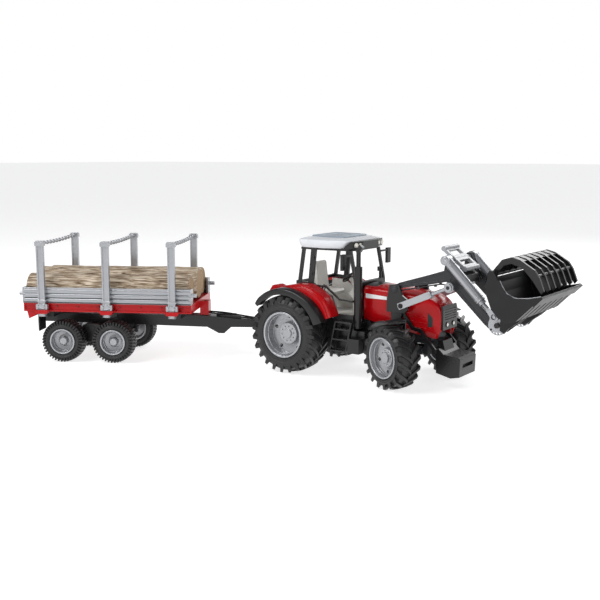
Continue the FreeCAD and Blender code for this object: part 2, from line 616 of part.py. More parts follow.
def make_visor():
    visor = new_body("roof_visor")
    base = "cab_top"
    step = "cab_top+roof_side-0.3"
    slab(visor, "XZ", [(80.3, base), (97, base), (98, step), (90.3, step)], "-cab_half+2",
         "cab_half-2")
    lamps = [(times(sign, offset), "cab_top+5.4") for sign in (-1, 1) for offset in (35, 26)]
    for sign in (-1, 1):
        slab(visor, "XY", [(84, times(sign, "cab_half-1")), (93, times(sign, "cab_half-9")),
                           (98.5, times(sign, 18)), (104, times(sign, 18)),
                           (104, times(sign, "cab_half+4")), (84, times(sign, "cab_half+4"))],
             150, 230, cut=True)
    rods(visor, "YZ", lamps, 3.6, 91.5, 104, cut=True)
    place(visor)
    lights = new_body("work_lamps")
    rods(lights, "YZ", lamps, 3.6, 91.5, 94.5)
    rods(lights, "YZ", lamps, 3.0, 94.5, 96.4)
    place(lights)


def make_mirrors():
    mirrors = new_body("mirrors")
    for side, word in SIDES:
        low, high = span(side, "pillar_half+0.5", "pillar_half+21")
        box(mirrors, (89, 91.6), (low, high), (176.5, 179))
        low, high = span(side, "pillar_half+18", "pillar_half+27.5")
        box(mirrors, (88.5, 92.5), (low, high), (158, 181))
    place(mirrors)


def arc_from(radius, start, end):
    """Three points of an arc about the rear axle: start, middle (marked) and end."""
    middle = (start + end) / 2.0
    spots = [("(%s)*cos(%s)" % (radius, step), "rear_radius+(%s)*sin(%s)" % (radius, step))
             for step in (start, middle, end)]
    return [spots[0], spots[1] + ("via",), spots[2]]


def make_fender(side, word):
    fender = new_body("fender_" + word)
    outer = [(-36, "rear_radius+57.5"), (-31.5, "rear_radius+70"), (-25, "rear_radius+70.6"),
             (-17, "rear_radius+67.6"), (2, "rear_radius+72.6"), (30, "rear_radius+74.6"),
             (62, "rear_radius+58"), (76, "rear_radius+30")]
    low, high = span(side, "fender_inner", "fender_outer")
    slab(fender, "XZ", arc_from("fender_radius+1.6", 24, 123) + outer, low, high)
    # the panel leans in: a bevel along the outer shoulder, and two grooves that follow the arc
    slab(fender, "YZ", [(times(side, "fender_outer-8"), "rear_radius+77"),
                        (times(side, "fender_outer+1"), "rear_radius+62"),
                        (times(side, "fender_outer+1"), "rear_radius+77")], -50, 90, cut=True)
    low, high = span(side, "fender_outer-1.4", "fender_outer+2")
    for radius in ("fender_radius+4.4", "fender_radius+7.6"):
        band = arc_from(radius, 34, 84) + arc_from(radius + "+1.1", 84, 34)
        slab(fender, "XZ", band, low, high, cut=True)
    place(fender)
    flare = new_body("fender_flare_" + word)
    low, high = span(side, "fender_outer", "rear_centre+rear_half_width+0.4")
    slab(flare, "XZ", arc_from("fender_radius", 20, 140) + [(-52, "rear_radius+46")]
         + arc_from("fender_radius+4", 133, 62) + [(58, "rear_radius+46"), (72.5, "rear_radius+25")],
         low, high)
    inner = span(side, "fender_outer", "rear_centre+rear_half_width-1.6")
    slab(flare, "XZ", arc_from("fender_radius-0.2", 22, 138) + arc_from("fender_radius+1.6", 138, 22),
         inner[0], inner[1], cut=True)
    place(flare)


def make_steps(side, word):
    steps = new_body("steps_" + word)
    tank = span(side, "gearbox_half", "cab_half-2")
    box(steps, (66, 118), tank, (40, 70))
    box(steps, (66, 100), tank, (70, 83.6))
    low, high = span(side, "cab_half-2", "cab_half+12")
    box(steps, (98, 117), (low, high), (39, 60))
    low, high = span(side, "cab_half+6", "cab_half+12")
    for top, foot in ((77, 67), (104, 94)):
        slab(steps, "XZ", [(foot - 1.1, 38), (foot + 1.1, 38), (top + 1.1, 83.6), (top - 1.1, 83.6)],
             low, high)
    low, high = span(side, "cab_half+3", "cab_half+12")
    for height in (39, 56, 71, 81.6):
        lean = 67 + (height - 38) * 0.22
        box(steps, (lean, lean + 27), (low, high), (height, height + 2))
    place(steps)


# ---- loader -------------------------------------------------------------------------------

BOOM_X = "wheelbase-boom_back"


def place_on_boom(body, out=0, up=0, turn=None):
    place(body, "%s+%s" % (BOOM_X, out), 0, "boom_height+%s" % up, turn, (0, 1, 0))


def make_brackets():
    bracket = new_body("loader_brackets")
    outer = "arm_inner+arm_thick+0.5"
    for side, word in SIDES:
        low, high = span(side, outer, "arm_inner+arm_thick+4.5")
        slab(bracket, "XZ", [(-12, -33), (-12, -14), (-8, 6), (7, 6), (12, -8), (21, -14),
                             (22, -27), (16, -33)], low, high)
        low, high = span(side, "arm_inner", "arm_inner+arm_thick+4.5")
        slab(bracket, "XZ", [(-12, -33), (-12, -24), (16, -24), (16, -33)], low, high)
        low, high = span(side, "arm_inner", "arm_inner+arm_thick")
        slab(bracket, "XZ", [(-9, -84), (1, -84), (4, -60), (10, -33), (-8, -33), (-6, -60)],
             low, high)
        low, high = span(side, "rail_half", "arm_inner+arm_thick")
        slab(bracket, "XZ", [(-9, -85), (1, -85), (1, -74), (-9, -74)], low, high)
        # boom pin and the lift ram's pin
        low, high = span(side, "arm_inner-0.4", outer)
        rods(bracket, "XZ", [(0, 0)], "boom_pin", low, high)
        low, high = span(side, "arm_inner+arm_thick+4", "ram_centre+5.4")
        rods(bracket, "XZ", [("ram_out", "-ram_down")], "boom_pin", low, high)
        # bent bar forward to the front weight
        low, high = span(side, 30.2, 33.5)
        slab(bracket, "XZ", [(6, -33), (12, -33), (27, -52), (39, -54), (62, -80), (62, -87),
                             (36, -58.5), (24, -56.5)], low, high)
        low, high = span(side, 25, 33.5)
        slab(bracket, "XZ", [(57, -87), (62, -87), (62, -80), (57, -80)], low, high)
    place_on_boom(bracket)


def make_boom():
    eye = "boom_pin+running_gap"
    for side, word in SIDES:
        arm = new_body("boom_arm_" + word)
        low, high = span(side, "arm_inner", "arm_inner+arm_thick")
        pivot_x, pivot_z = "bucket_out", "-bucket_down"
        at = lambda x, z: ("%s+%s" % (pivot_x, x), "%s+%s" % (pivot_z, z))
        slab(arm, "XZ", [(-5.5, -4), (10, 2), (78, 16), (94, 2.5), at(-15, -5.5), at(-7, -9.5),
                         at(2, -9), at(8.5, -3), at(8.5, 4), at(2.5, 9), at(-13, 9.5),
                         (80, 33), (6, 8.5), (-3, 6)], low, high)
        # recessed panels on the outer face
        face = span(side, "arm_inner+arm_thick-0.8", "arm_inner+arm_thick+1")
        slab(arm, "XZ", [(22, 7.5), (74, 18.5), (73, 28), (22, 10.5)], face[0], face[1], cut=True)
        slab(arm, "XZ", [(95.5, 6.5), at(-17, -1), at(-14, 5), (86, 23), (83, 18)], face[0], face[1],
             cut=True)
        # lug that carries the tilt shaft above the knee
        low, high = span(side, "arm_inner-4", "tilt_centre-tilt_barrel-0.4")
        slab(arm, "XZ", [(72, 26), ("tilt_out-5", "tilt_up"), ("tilt_out-3.5", "tilt_up+4.5"),
                         ("tilt_out+3.5", "tilt_up+4.5"), ("tilt_out+5", "tilt_up"), (96.5, 20),
                         (94, 9.5), (83, 9.5)], low, high)
        wide = span(side, 20, 60)
        rods(arm, "XZ", [(0, 0), (pivot_x, pivot_z)], eye, wide[0], wide[1], cut=True)
        rods(arm, "XZ", [("tilt_out", "tilt_up")], 2.6, wide[0], wide[1], cut=True)
        low, high = span(side, "arm_inner+arm_thick-1", "ram_centre+2.4")
        rods(arm, "XZ", [("ram_eye_out", "ram_eye_up")], "ram_pin", low, high)
        # hydraulic pipe along the limb
        low, high = span(side, "arm_inner+1", "arm_inner+3")
        slab(arm, "XZ", strip((91, 24.5), (141, -21.5), 0.9), low, high)
        place_on_boom(arm)
    tube = new_body("boom_cross_tube")
    inner = "arm_inner-4"
    rods(tube, "XZ", [(89, 17)], 6.5, minus(inner), inner)
    slab(tube, "XZ", [(84, 24), (90, 29.5), (98, 24), (99, 14), (92, 8)], -20, 20)
    place_on_boom(tube)


def make_lift_rams():
    barrels = new_body("lift_cylinders")
    rod_set = new_body("lift_rods")
    for side, word in SIDES:
        low, high = span(side, "ram_centre-4.6", "ram_centre+4.6")
        slab(barrels, "XZ", [(-3.5, -4.6), (-5, 0), (-3.5, 4.6), (47, 4.6), (50, 3), (50, -3),
                             (47, -4.6)], low, high)
        rods(barrels, "YZ", [(times(side, "ram_centre"), 0)], 2.6, 6, 60, cut=True)
        wide = span(side, "ram_centre-9", "ram_centre+9")
        rods(barrels, "XZ", [(0, 0)], "boom_pin+running_gap", wide[0], wide[1], cut=True)
        rods(rod_set, "YZ", [(times(side, "ram_centre"), 0)], 2.5, 20, "ram_length-ram_pin-ram_play-0.8")
        low, high = span(side, "ram_centre-1.6", "ram_centre+1.6")
        rods(rod_set, "XZ", [("ram_length", 0)], "ram_pin+ram_play+1.9", low, high)
        rods(rod_set, "XZ", [("ram_length", 0)], "ram_pin+ram_play", wide[0], wide[1], cut=True)
    for body in (barrels, rod_set):
        place_on_boom(body, "ram_out", "(-ram_down)", "-ram_swing")


def make_tilt_rams():
    reach = "tilt_length"
    barrels = new_body("tilt_cylinders")
    rod_set = new_body("tilt_rods")
    for side, word in SIDES:
        centre = times(side, "tilt_centre")
        low, high = span(side, "tilt_centre-tilt_barrel", "tilt_centre+tilt_barrel")
        rods(barrels, "XZ", [(0, 0)], "tilt_barrel", low, high)
        rods(barrels, "YZ", [(centre, 0)], "tilt_barrel", 0, 72)
        rods(barrels, "YZ", [(centre, 0)], "tilt_barrel-1", 72, 77)
        rods(barrels, "YZ", [(centre, 0)], 2.9, 16, 80, cut=True)
        rods(rod_set, "YZ", [(centre, 0)], 2.8, 24, reach + "-13.7")
        low, high = span(side, "tilt_centre-1.3", "tilt_centre+1.3")
        slab(rod_set, "XZ", [(reach + "-16", -2.4), (reach + "-6", -4.2), (reach, -5.8),
                             (reach + "+5.8", 0, "via"), (reach, 5.8), (reach + "-6", 4.2),
                             (reach + "-16", 2.4)], low, high)
        rods(rod_set, "XZ", [(reach, 0)], 4.2, low, high, cut=True)
    handle = new_body("tilt_handle")
    half = 21
    slab(handle, "XZ", [(-21, -2), (-22, 2), (22, 2.4), (22, -2.4)], -half, half)
    rods(handle, "XZ", [(-20, 1), (21, 0)], 3.6, -half, half)
    for low, high in ((-15, -5), (6, 15)):
        box(handle, (low, high), (-15, 15), (-9, 9), cut=True)
    rods(handle, "XZ", [(0, 0)], 2.5, "-tilt_centre+tilt_barrel", "tilt_centre-tilt_barrel")
    for body, turn in ((barrels, "tilt_swing"), (rod_set, "tilt_swing"), (handle, 37.7)):
        place_on_boom(body, "tilt_out", "tilt_up", turn)


def sheet_outline(inset):
    """The bucket's back and floor seen from the side, from the bucket pin, moved in."""
    slope = inset * 0.7
    return [(-1.4 + inset, 65.1), (-4.1 + inset, 56.5), (-2.1 + inset, 42.7),
            (4.4 + slope, 26.6 + slope * 0.7), (13.6 + slope * 0.6, 16.3 + slope),
            (25.6, 10.6 + inset * 1.02), (38.4 - slope * 0.5, 14.1 + inset), (71.5 - slope, 47.5 + slope)]


def make_bucket():
    bucket = new_body("bucket")
    rim = [(70, 48.0), (52.8, 44.3), (35.8, 43.4), (25.6, 48.0), (18.7, 57.1), (15.5, 63.7)]
    slab(bucket, "XZ", sheet_outline(0) + rim, minus("bucket_half"), "bucket_half")
    inner = "bucket_half-sheet"
    slab(bucket, "XZ", sheet_outline(2.5)[1:-1] + [(78, 56), (70, 80), (1.1, 80)], minus(inner), inner,
         cut=True)
    # cutting edge and stiffening ribs below the floor
    slab(bucket, "XZ", strip((60, 35.3), (71.5, 46.8), 1.3), minus("bucket_half"), "bucket_half")
    for side, word in SIDES:
        low, high = span(side, "arm_inner+arm_thick+2.9", "arm_inner+arm_thick+6.5")
        slab(bucket, "XZ", [(5, 9), (4.5, -6), (10.5, -9.7), (16.5, -2.5), (28, 6), (38, 15),
                            (26, 12.5), (14, 18), (8, 24)], low, high)
        low, high = span(side, "arm_inner-3.2", "arm_inner-0.3")
        slab(bucket, "XZ", [(-6, 0), (-4.3, -4.3, "via"), (0, -6), (10, -9), (28, 6), (38, 15),
                            (26, 12.5), (14, 18), (4, 30), (-2, 30)], low, high)
        low, high = span(side, "arm_inner-3", "arm_inner+arm_thick+5")
        rods(bucket, "XZ", [(0, 0)], "boom_pin", low, high)
        # lugs of the grapple hinge on the side plates
        low, high = span(side, "bucket_half-7", "bucket_half")
        slab(bucket, "XZ", [(-1, 60), (-2, 72), ("grapple_out-2", "grapple_up+4.5"),
                            ("grapple_out+3", "grapple_up+4.5"), (10, 68), (13, 61), (3, 58)], low, high)
        wide = span(side, "bucket_half-12", "bucket_half-1.6")
        rods(bucket, "XZ", [("grapple_out", "grapple_up")], 2.6, wide[0], wide[1], cut=True)
    place_on_boom(bucket, "bucket_out", "(-bucket_down)")
    discs = new_body("tilt_discs")
    slots = [("%s*cos(%s)" % (11.2, step), "%s*sin(%s)" % (11.2, step)) for step in (215, 238, 261, 284)]
    for side, word in SIDES:
        low, high = span(side, "arm_inner+arm_thick+0.3", "arm_inner+arm_thick+2.9")
        rods(discs, "XZ", [(0, 0)], "disc_radius", low, high)
        slab(discs, "XZ", [(-12.5, 4), ("-crank_back-5.5", "crank_up+4"),
                           ("-crank_back+4", "crank_up+5.5"), (9, 9)], low, high)
        rods(discs, "XZ", slots, 1.5, low, high, cut=True)
        rods(discs, "XZ", [(0, 0)], "boom_pin+0.05", low, high, cut=True)
        low, high = span(side, "arm_inner+arm_thick+2.5", "arm_inner+arm_thick+6")
        rods(discs, "XZ", [("-crank_back", "crank_up")], 2, low, high)
    place_on_boom(discs, "bucket_out", "(-bucket_down)")


def make_grapple():
    grapple = new_body("grapple")
    outline = [(-3.5, 2.2), (-1, 5.5), (9.5, 18.5), (22, 22.5), (34, 19.5), (53, 8), (59.5, -1),
               (66, -17.5), (62.5, -21.5), (51, -5.5), (37, 9.6), (22, 14.2), (12, 11), (4, 1),
               (2.2, -3.2)]
    for index in range(-3, 4):
        low, high = "%s*tine_pitch-1.9" % index, "%s*tine_pitch+1.9" % index
        slab(grapple, "XZ", outline, low, high)
    rods(grapple, "XZ", [(0, 0)], 3.4, "-bucket_half+7.6", "bucket_half-7.6")
    rods(grapple, "XZ", [(0, 0)], 2.5, "-bucket_half+2", "bucket_half-2")
    rods(grapple, "XZ", [(22, 18), (54.5, 0)], 2.4, "-3*tine_pitch", "3*tine_pitch")
    slab(grapple, "XZ", [(1, 1), (0, 5), (9.5, 17.5), (22, 21.8), (36, 17.6), (35, 16), (22, 19.6),
                         (10.5, 15)],
         "-3*tine_pitch", "3*tine_pitch")
    place_on_boom(grapple, "bucket_out+grapple_out", "(-bucket_down+grapple_up)")


# ---- trailer ------------------------------------------------------------------------------

REAR = "-bed_front-bed_length"


def stake_place(index):
    return "%s+stake_inset+%s*stake_pitch" % (REAR, index)


def make_trailer_chassis():
    chassis = new_body("trailer_chassis")
    slab(chassis, "XZ", [(-28, 50.5), (-28, 60.5), (-60, 63), (-118, 67.5), ("-bed_front-4", 68),
                         (REAR + "+8", 68), (REAR + "+8", 54), (-120, 49.5)], "-beam_half", "beam_half")
    slab(chassis, "XZ", [(-123, 51), (-99, 38.3), (-90, 38.3), (-74, 53)], -5, 5)
    # towing eye and its neck
    box(chassis, (-30, -4), (-5, 5), ("eye_bottom", "eye_top"))
    rods(chassis, "XY", [(0, 0)], "pin_radius+4", "eye_bottom", "eye_top")
    rods(chassis, "XY", [(0, 0)], "pin_radius+running_gap", "eye_bottom-1", "eye_top+1", cut=True)
    # bearers under the bed
    for index in range(3):
        middle = stake_place(index)
        box(chassis, ("%s-5" % middle, "%s+5" % middle), (-44, 44), (67, "bed_top-3.5"))
    # flap behind each rear wheel, on an arm from the last bearer
    for side in (-1, 1):
        low, high = span(side, 40, 44)
        box(chassis, (REAR + "+20.6", "%s-4" % stake_place(0)), (low, high), (70, "bed_bottom-0.3"))
        low, high = span(side, 40, 66)
        box(chassis, (REAR + "+20.6", REAR + "+22.4"), (low, high), (48, "bed_bottom-0.3"))
    # bogie pivot block and shaft
    slab(chassis, "XZ", [("-bogie_back-9", "bogie_height-7"), ("-bogie_back+9", "bogie_height-7"),
                         ("-bogie_back+14", 60), ("-bogie_back-14", 60)], "-beam_half-3", "beam_half+3")
    rods(chassis, "XZ", [("-bogie_back", "bogie_height")], "stub_radius", -46, 46)
    # pipe run and block on the drawbar
    box(chassis, (-104, -72), (3, 7), (63, 69.5))
    box(chassis, (-96, -62), (-7, -4), (62, 68))
    place_trailer(chassis)


def make_bed():
    bed = new_body("trailer_bed")
    half = "bed_half"
    box(bed, (REAR, "-bed_front"), (minus(half), half), ("bed_top-3.5", "bed_top"))
    for side in (-1, 1):
        low, high = span(side, "bed_half-5", half)
        box(bed, (REAR, "-bed_front"), (low, high), ("bed_bottom", "bed_bottom+2.4"))
        low, high = span(side, "bed_half-4", "bed_half-2")
        box(bed, (REAR, "-bed_front"), (low, high), ("bed_bottom", "bed_top"))
        # stake sockets with their sloping gussets
        for index in range(3):
            middle = stake_place(index)
            low, high = span(side, "bed_half-3", "stake_face+stake_depth+2.4")
            slab(bed, "XZ", [("%s-8" % middle, "bed_bottom-2"), ("%s+8" % middle, "bed_bottom-2"),
                             ("%s+12" % middle, "bed_bottom+4"), ("%s-12" % middle, "bed_bottom+4")],
                 low, high)
            low, high = span(side, "stake_face-0.4", "stake_face+stake_depth+0.4")
            box(bed, ("%s-stake_half-0.3" % middle, "%s+stake_half+0.3" % middle), (low, high),
                ("bed_bottom-4", "bed_bottom+6"), cut=True)
        # rear wing plates
        low, high = span(side, "bed_half-22", "bed_half-2")
        slab(bed, "XZ", [(REAR + "+4", "bed_bottom+1"), (REAR + "+7", "bed_bottom-12"),
                         (REAR + "+18", "bed_bottom-7"), (REAR + "+20", "bed_bottom+1")], low, high)
    for end in (REAR, "-bed_front-2.4"):
        box(bed, (end, end + "+2.4"), (minus(half), half), ("bed_bottom", "bed_top"))
    # mounting block over the drawbar
    box(bed, ("-bed_front", "-bed_front+14"), (-9, 9), (68.1, "bed_top-3"))
    place_trailer(bed)


def make_side_board(side, word):
    board = new_body("side_board_" + word)
    low, high = span(side, "bed_half", "bed_half+board_wall-0.8")
    box(board, (REAR, "-bed_front"), (low, high), ("board_bottom-2.5", "board_top"))
    low, high = span(side, "bed_half", "bed_half+board_wall")
    for height in ("board_bottom", "board_bottom+6.6", "board_bottom+13.2", "board_top-2.2"):
        box(board, (REAR, "-bed_front"), (low, high), (height, height + "+2.2"))
    for end in (REAR, "-bed_front-3"):
        box(board, (end, end + "+3"), (low, high), ("board_bottom", "board_top"))
    low, high = span(side, "bed_half-14", "bed_half")
    box(board, (REAR, REAR + "+3"), (low, high), ("bed_top", "board_top"))
    box(board, ("-bed_front-3", "-bed_front"), (low, high), ("bed_top", "board_top"))
    knob = (times(side, "bed_half-0.6"), "board_bottom+12.5")
    for start, end in ((REAR + "-5", REAR), ("-bed_front", "-bed_front+8")):
        rods(board, "YZ", [knob], 3.1, start, end)
    place_trailer(board)


def make_stakes(index, word):
    stakes = new_body("stake_pair_" + word)
    for side in (-1, 1):
        face, back = "stake_face", "stake_face+stake_depth"
        low, high = span(side, face, back)
        box(stakes, ("-stake_half", "stake_half"), (low, high), ("bed_bottom-6.6", "stake_top-5"))
        # H section: a groove on the outer and on the inner face
        groove = span(side, "stake_face+stake_depth-1.4", "stake_face+stake_depth+1")
        box(stakes, ("-stake_half+1.8", "stake_half-1.8"), groove, ("board_top+4", "stake_top-12"),
            cut=True)
        groove = span(side, "stake_face-1", "stake_face+1.4")
        box(stakes, ("-stake_half+1.8", "stake_half-1.8"), groove, ("board_top+4", "stake_top-12"),
            cut=True)
        slab(stakes, "YZ", [(low, "bed_bottom+4.3"), (high, "bed_bottom+4.3"),
                            (high, "board_bottom+1"), (low, "board_bottom+1")], -9, 9)
        low, high = span(side, "stake_face-1", "stake_face+stake_depth+1")
        box(stakes, ("-stake_half-1.6", "stake_half+1.6"), (low, high), ("stake_top-8", "stake_top"))
    # the chain between the heads: a run of round links with narrow necks
    link = 5.2
    count = 13
    points = []
    for step in range(-count, count + 1):
        centre = step * link
        points += [(centre - 2.2, 1.0), (centre, 2.5, "via"), (centre + 2.2, 1.0)]
    ends = [("stake_face", 1.0), ("stake_face", 0), ("-stake_face", 0), ("-stake_face", 1.0)]
    chain = new_sketch(stakes, "YZ", 0)
    raised = [(point[0], "stake_top-4+%s" % point[1]) + point[2:] for point in points + ends]
    draw_outline(chain, raised)
    line = chain.addGeometry(Part.LineSegment(
        FreeCAD.Vector(-80, measured("stake_top-4"), 0),
        FreeCAD.Vector(80, measured("stake_top-4"), 0)), True)
    fix_point(chain, line, 1, -80, "stake_top-4")
    fix_point(chain, line, 2, 80, "stake_top-4")
    turn = stakes.newObject("PartDesign::Revolution", stakes.Name + "_chain")
    turn.Profile = chain
    turn.ReferenceAxis = (chain, ["Axis0"])
    turn.Angle = 360
    place_trailer(stakes, stake_place(index))


def make_bogie():
    bogie = new_body("bogie_frame")
    low_z, high_z = "trailer_radius-bogie_height", 0
    gap = "axle_half_gap"
    for side in (-1, 1):
        low, high = span(side, 39, 45.5)
        slab(bogie, "XZ", [("-%s-7" % gap, "%s-5" % low_z), ("%s+7" % gap, "%s-5" % low_z),
                           ("%s+7" % gap, "%s+5" % low_z), (8, 7), (-8, 7),
                           ("-%s-7" % gap, "%s+5" % low_z)], low, high)
        rods(bogie, "XZ", [("-" + gap, low_z), (gap, low_z)], "axle_radius+running_gap", low, high,
             cut=True)
        rods(bogie, "XZ", [(0, 0)], "stub_radius+running_gap", low, high, cut=True)
    box(bogie, (-6, 6), (-39, 39), ("%s-5" % low_z, "%s+1" % low_z))
    place_trailer(bogie, "-bogie_back", "bogie_height")


def make_trailer_wheels(sign, word):
    tyres = new_body("trailer_tyres_" + word)
    middle = "trailer_outer-trailer_width/2"
    for side in (-1, 1):
        turned(tyres, "YZ", "Y", tyre_outline("trailer_width/2", "trailer_rim", "trailer_radius", 6, 4,
                                              times(side, middle)))
    rims = new_body("trailer_wheelset_" + word)
    outer = "trailer_outer"
    half = [("%s-4" % outer, 0), ("%s-4" % outer, 5), ("%s-5" % outer, 5.8), ("%s-12" % outer, 6.6),
            ("%s-13" % outer, 10), ("%s-11.5" % outer, "trailer_rim-4"), (outer, "trailer_rim-1.6"),
            (outer, "trailer_rim"), ("%s-trailer_width" % outer, "trailer_rim"),
            ("%s-trailer_width" % outer, "trailer_rim-2.4"), ("%s-16" % outer, "trailer_rim-5.6"),
            ("%s-16" % outer, 6), ("%s-trailer_width+1" % outer, 5), ("%s-trailer_width+1" % outer,
                                                                     "axle_radius")]
    other = [(minus(across), radius) for across, radius in reversed(half)]
    turned(rims, "YZ", "Y", half + other)
    for body in (tyres, rims):
        place_trailer(body, "-bogie_back+%s*axle_half_gap" % sign, "trailer_radius")


def make_logs():
    logs = new_body("logs")
    shapes = ((-46.9, 0.0, -4), (0, 2.6, -1), (47.6, 0.6, -6))
    for across, extra, forward in shapes:
        radius = "log_radius+%s" % extra
        start = "%s+%s" % (REAR, 5 + forward / 4.0)
        end = "-bed_front+%s" % (forward - 1)
        rods(logs, "YZ", [(across, "bed_top+0.3+%s" % radius)], radius, start, end)
    place_trailer(logs)


def build():
    for side, word in SIDES:
        make_rear_wheel(side, word)
        make_front_wheel(side, word)
        make_knuckle(side, word)
        make_fender(side, word)
        make_steps(side, word)
        make_side_board(side, word)
    make_front_axle()
    make_tie_rod()
    make_chassis()
    make_hitch_pin()
    make_front_weight()
    make_engine()
    make_hood()
    make_grille()
    make_exhaust()
    make_cab_frame()
    make_interior()
    make_seat()
    make_steering_wheel()
    make_roof()
    make_visor()
    make_mirrors()
    make_brackets()
    make_boom()
    make_lift_rams()
    make_tilt_rams()
    make_bucket()
    make_grapple()
    make_trailer_chassis()
    make_bed()
    make_bogie()
    make_logs()
    for index, word in enumerate(("rear", "middle", "front")):
        make_stakes(index, word)
    for sign, word in ((1, "front"), (-1, "rear")):
        make_trailer_wheels(sign, word)


def check():
    """Every object recomputed without a fault, and every body a valid solid."""
    faults = [item.Name for item in doc.Objects
              if "Invalid" in item.State or "Error" in item.State]
    for body in bodies:
        if body.Shape.isNull() or not body.Shape.isValid() or not body.Shape.Solids:
            faults.append(body.Label)
    if faults:
        raise RuntimeError("failed: " + ", ".join(sorted(set(faults))))


build()
doc.recompute()
check()
whole = FreeCAD.BoundBox()
for body in bodies:
    whole.add(body.Shape.BoundBox)
sheet.set(sheet.getCellFromAlias("middle_x"), str(whole.Center.x))
sheet.set(sheet.getCellFromAlias("middle_y"), str(whole.Center.y))
sheet.set(sheet.getCellFromAlias("ground"), str(whole.ZMin))
doc.recompute()
check()

os.makedirs("parts", exist_ok=True)
for body in bodies:
    body.Shape.exportStep("parts/%s.step" % body.Label)
print("%d nodes, size %.1f x %.1f x %.1f, middle %.4f %.4f %.4f" % (
    len(bodies), whole.XLength, whole.YLength, whole.ZLength, whole.Center.x, whole.Center.y,
    whole.ZMin))
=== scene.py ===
import bpy
import bmesh
import json
import math
from mathutils import Matrix, Vector, noise

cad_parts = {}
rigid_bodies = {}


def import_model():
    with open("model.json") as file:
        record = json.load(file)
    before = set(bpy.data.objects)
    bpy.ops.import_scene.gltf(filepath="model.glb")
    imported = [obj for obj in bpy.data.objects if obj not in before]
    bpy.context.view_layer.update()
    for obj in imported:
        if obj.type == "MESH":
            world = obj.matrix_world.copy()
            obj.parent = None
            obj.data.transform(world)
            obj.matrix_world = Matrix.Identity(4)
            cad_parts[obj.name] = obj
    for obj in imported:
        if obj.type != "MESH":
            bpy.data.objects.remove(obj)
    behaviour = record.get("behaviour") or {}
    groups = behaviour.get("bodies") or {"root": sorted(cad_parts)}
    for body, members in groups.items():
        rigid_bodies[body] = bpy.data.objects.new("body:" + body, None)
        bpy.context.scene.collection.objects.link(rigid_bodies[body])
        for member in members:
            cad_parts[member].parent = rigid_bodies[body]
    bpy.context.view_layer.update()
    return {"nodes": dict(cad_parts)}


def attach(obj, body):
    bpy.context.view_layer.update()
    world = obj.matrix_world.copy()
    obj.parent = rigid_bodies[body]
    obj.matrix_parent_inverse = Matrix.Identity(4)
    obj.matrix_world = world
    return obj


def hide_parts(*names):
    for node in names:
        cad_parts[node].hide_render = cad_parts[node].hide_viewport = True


bpy.ops.object.select_all(action="SELECT")
bpy.ops.object.delete()
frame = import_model()
print("frame loaded")

# everything is drawn in millimetres from the rear axle, or from the hitch pin on the trailer
layout = {"middle": (-31.3244, -79.8176), "hitch": -68.8, "yaw": 29.5, "wheelbase": 183.5,
          "steer": -22.5, "kingpin": 51.8, "rearHub": (66.25, 58.5), "frontHub": (19.8, 45.2),
          "trailerHub": (60.5, 33.1), "bogie": (-293.4, 40.25), "boom": (162, 135)}
tractorPlace = (Matrix.Scale(0.001, 4)
                @ Matrix.Translation((-layout["middle"][0], -layout["middle"][1], 0)))
trailerPlace = (tractorPlace @ Matrix.Translation((layout["hitch"], 0, 0))
                @ Matrix.Rotation(math.radians(layout["yaw"]), 4, "Z"))


# materials

def link(tree, a, b):
    tree.links.new(a, b)


def node(tree, kind, **values):
    n = tree.nodes.new(kind)
    for key, value in values.items():
        if key in n.inputs:
            n.inputs[key].default_value = value
        else:
            setattr(n, key, value)
    return n


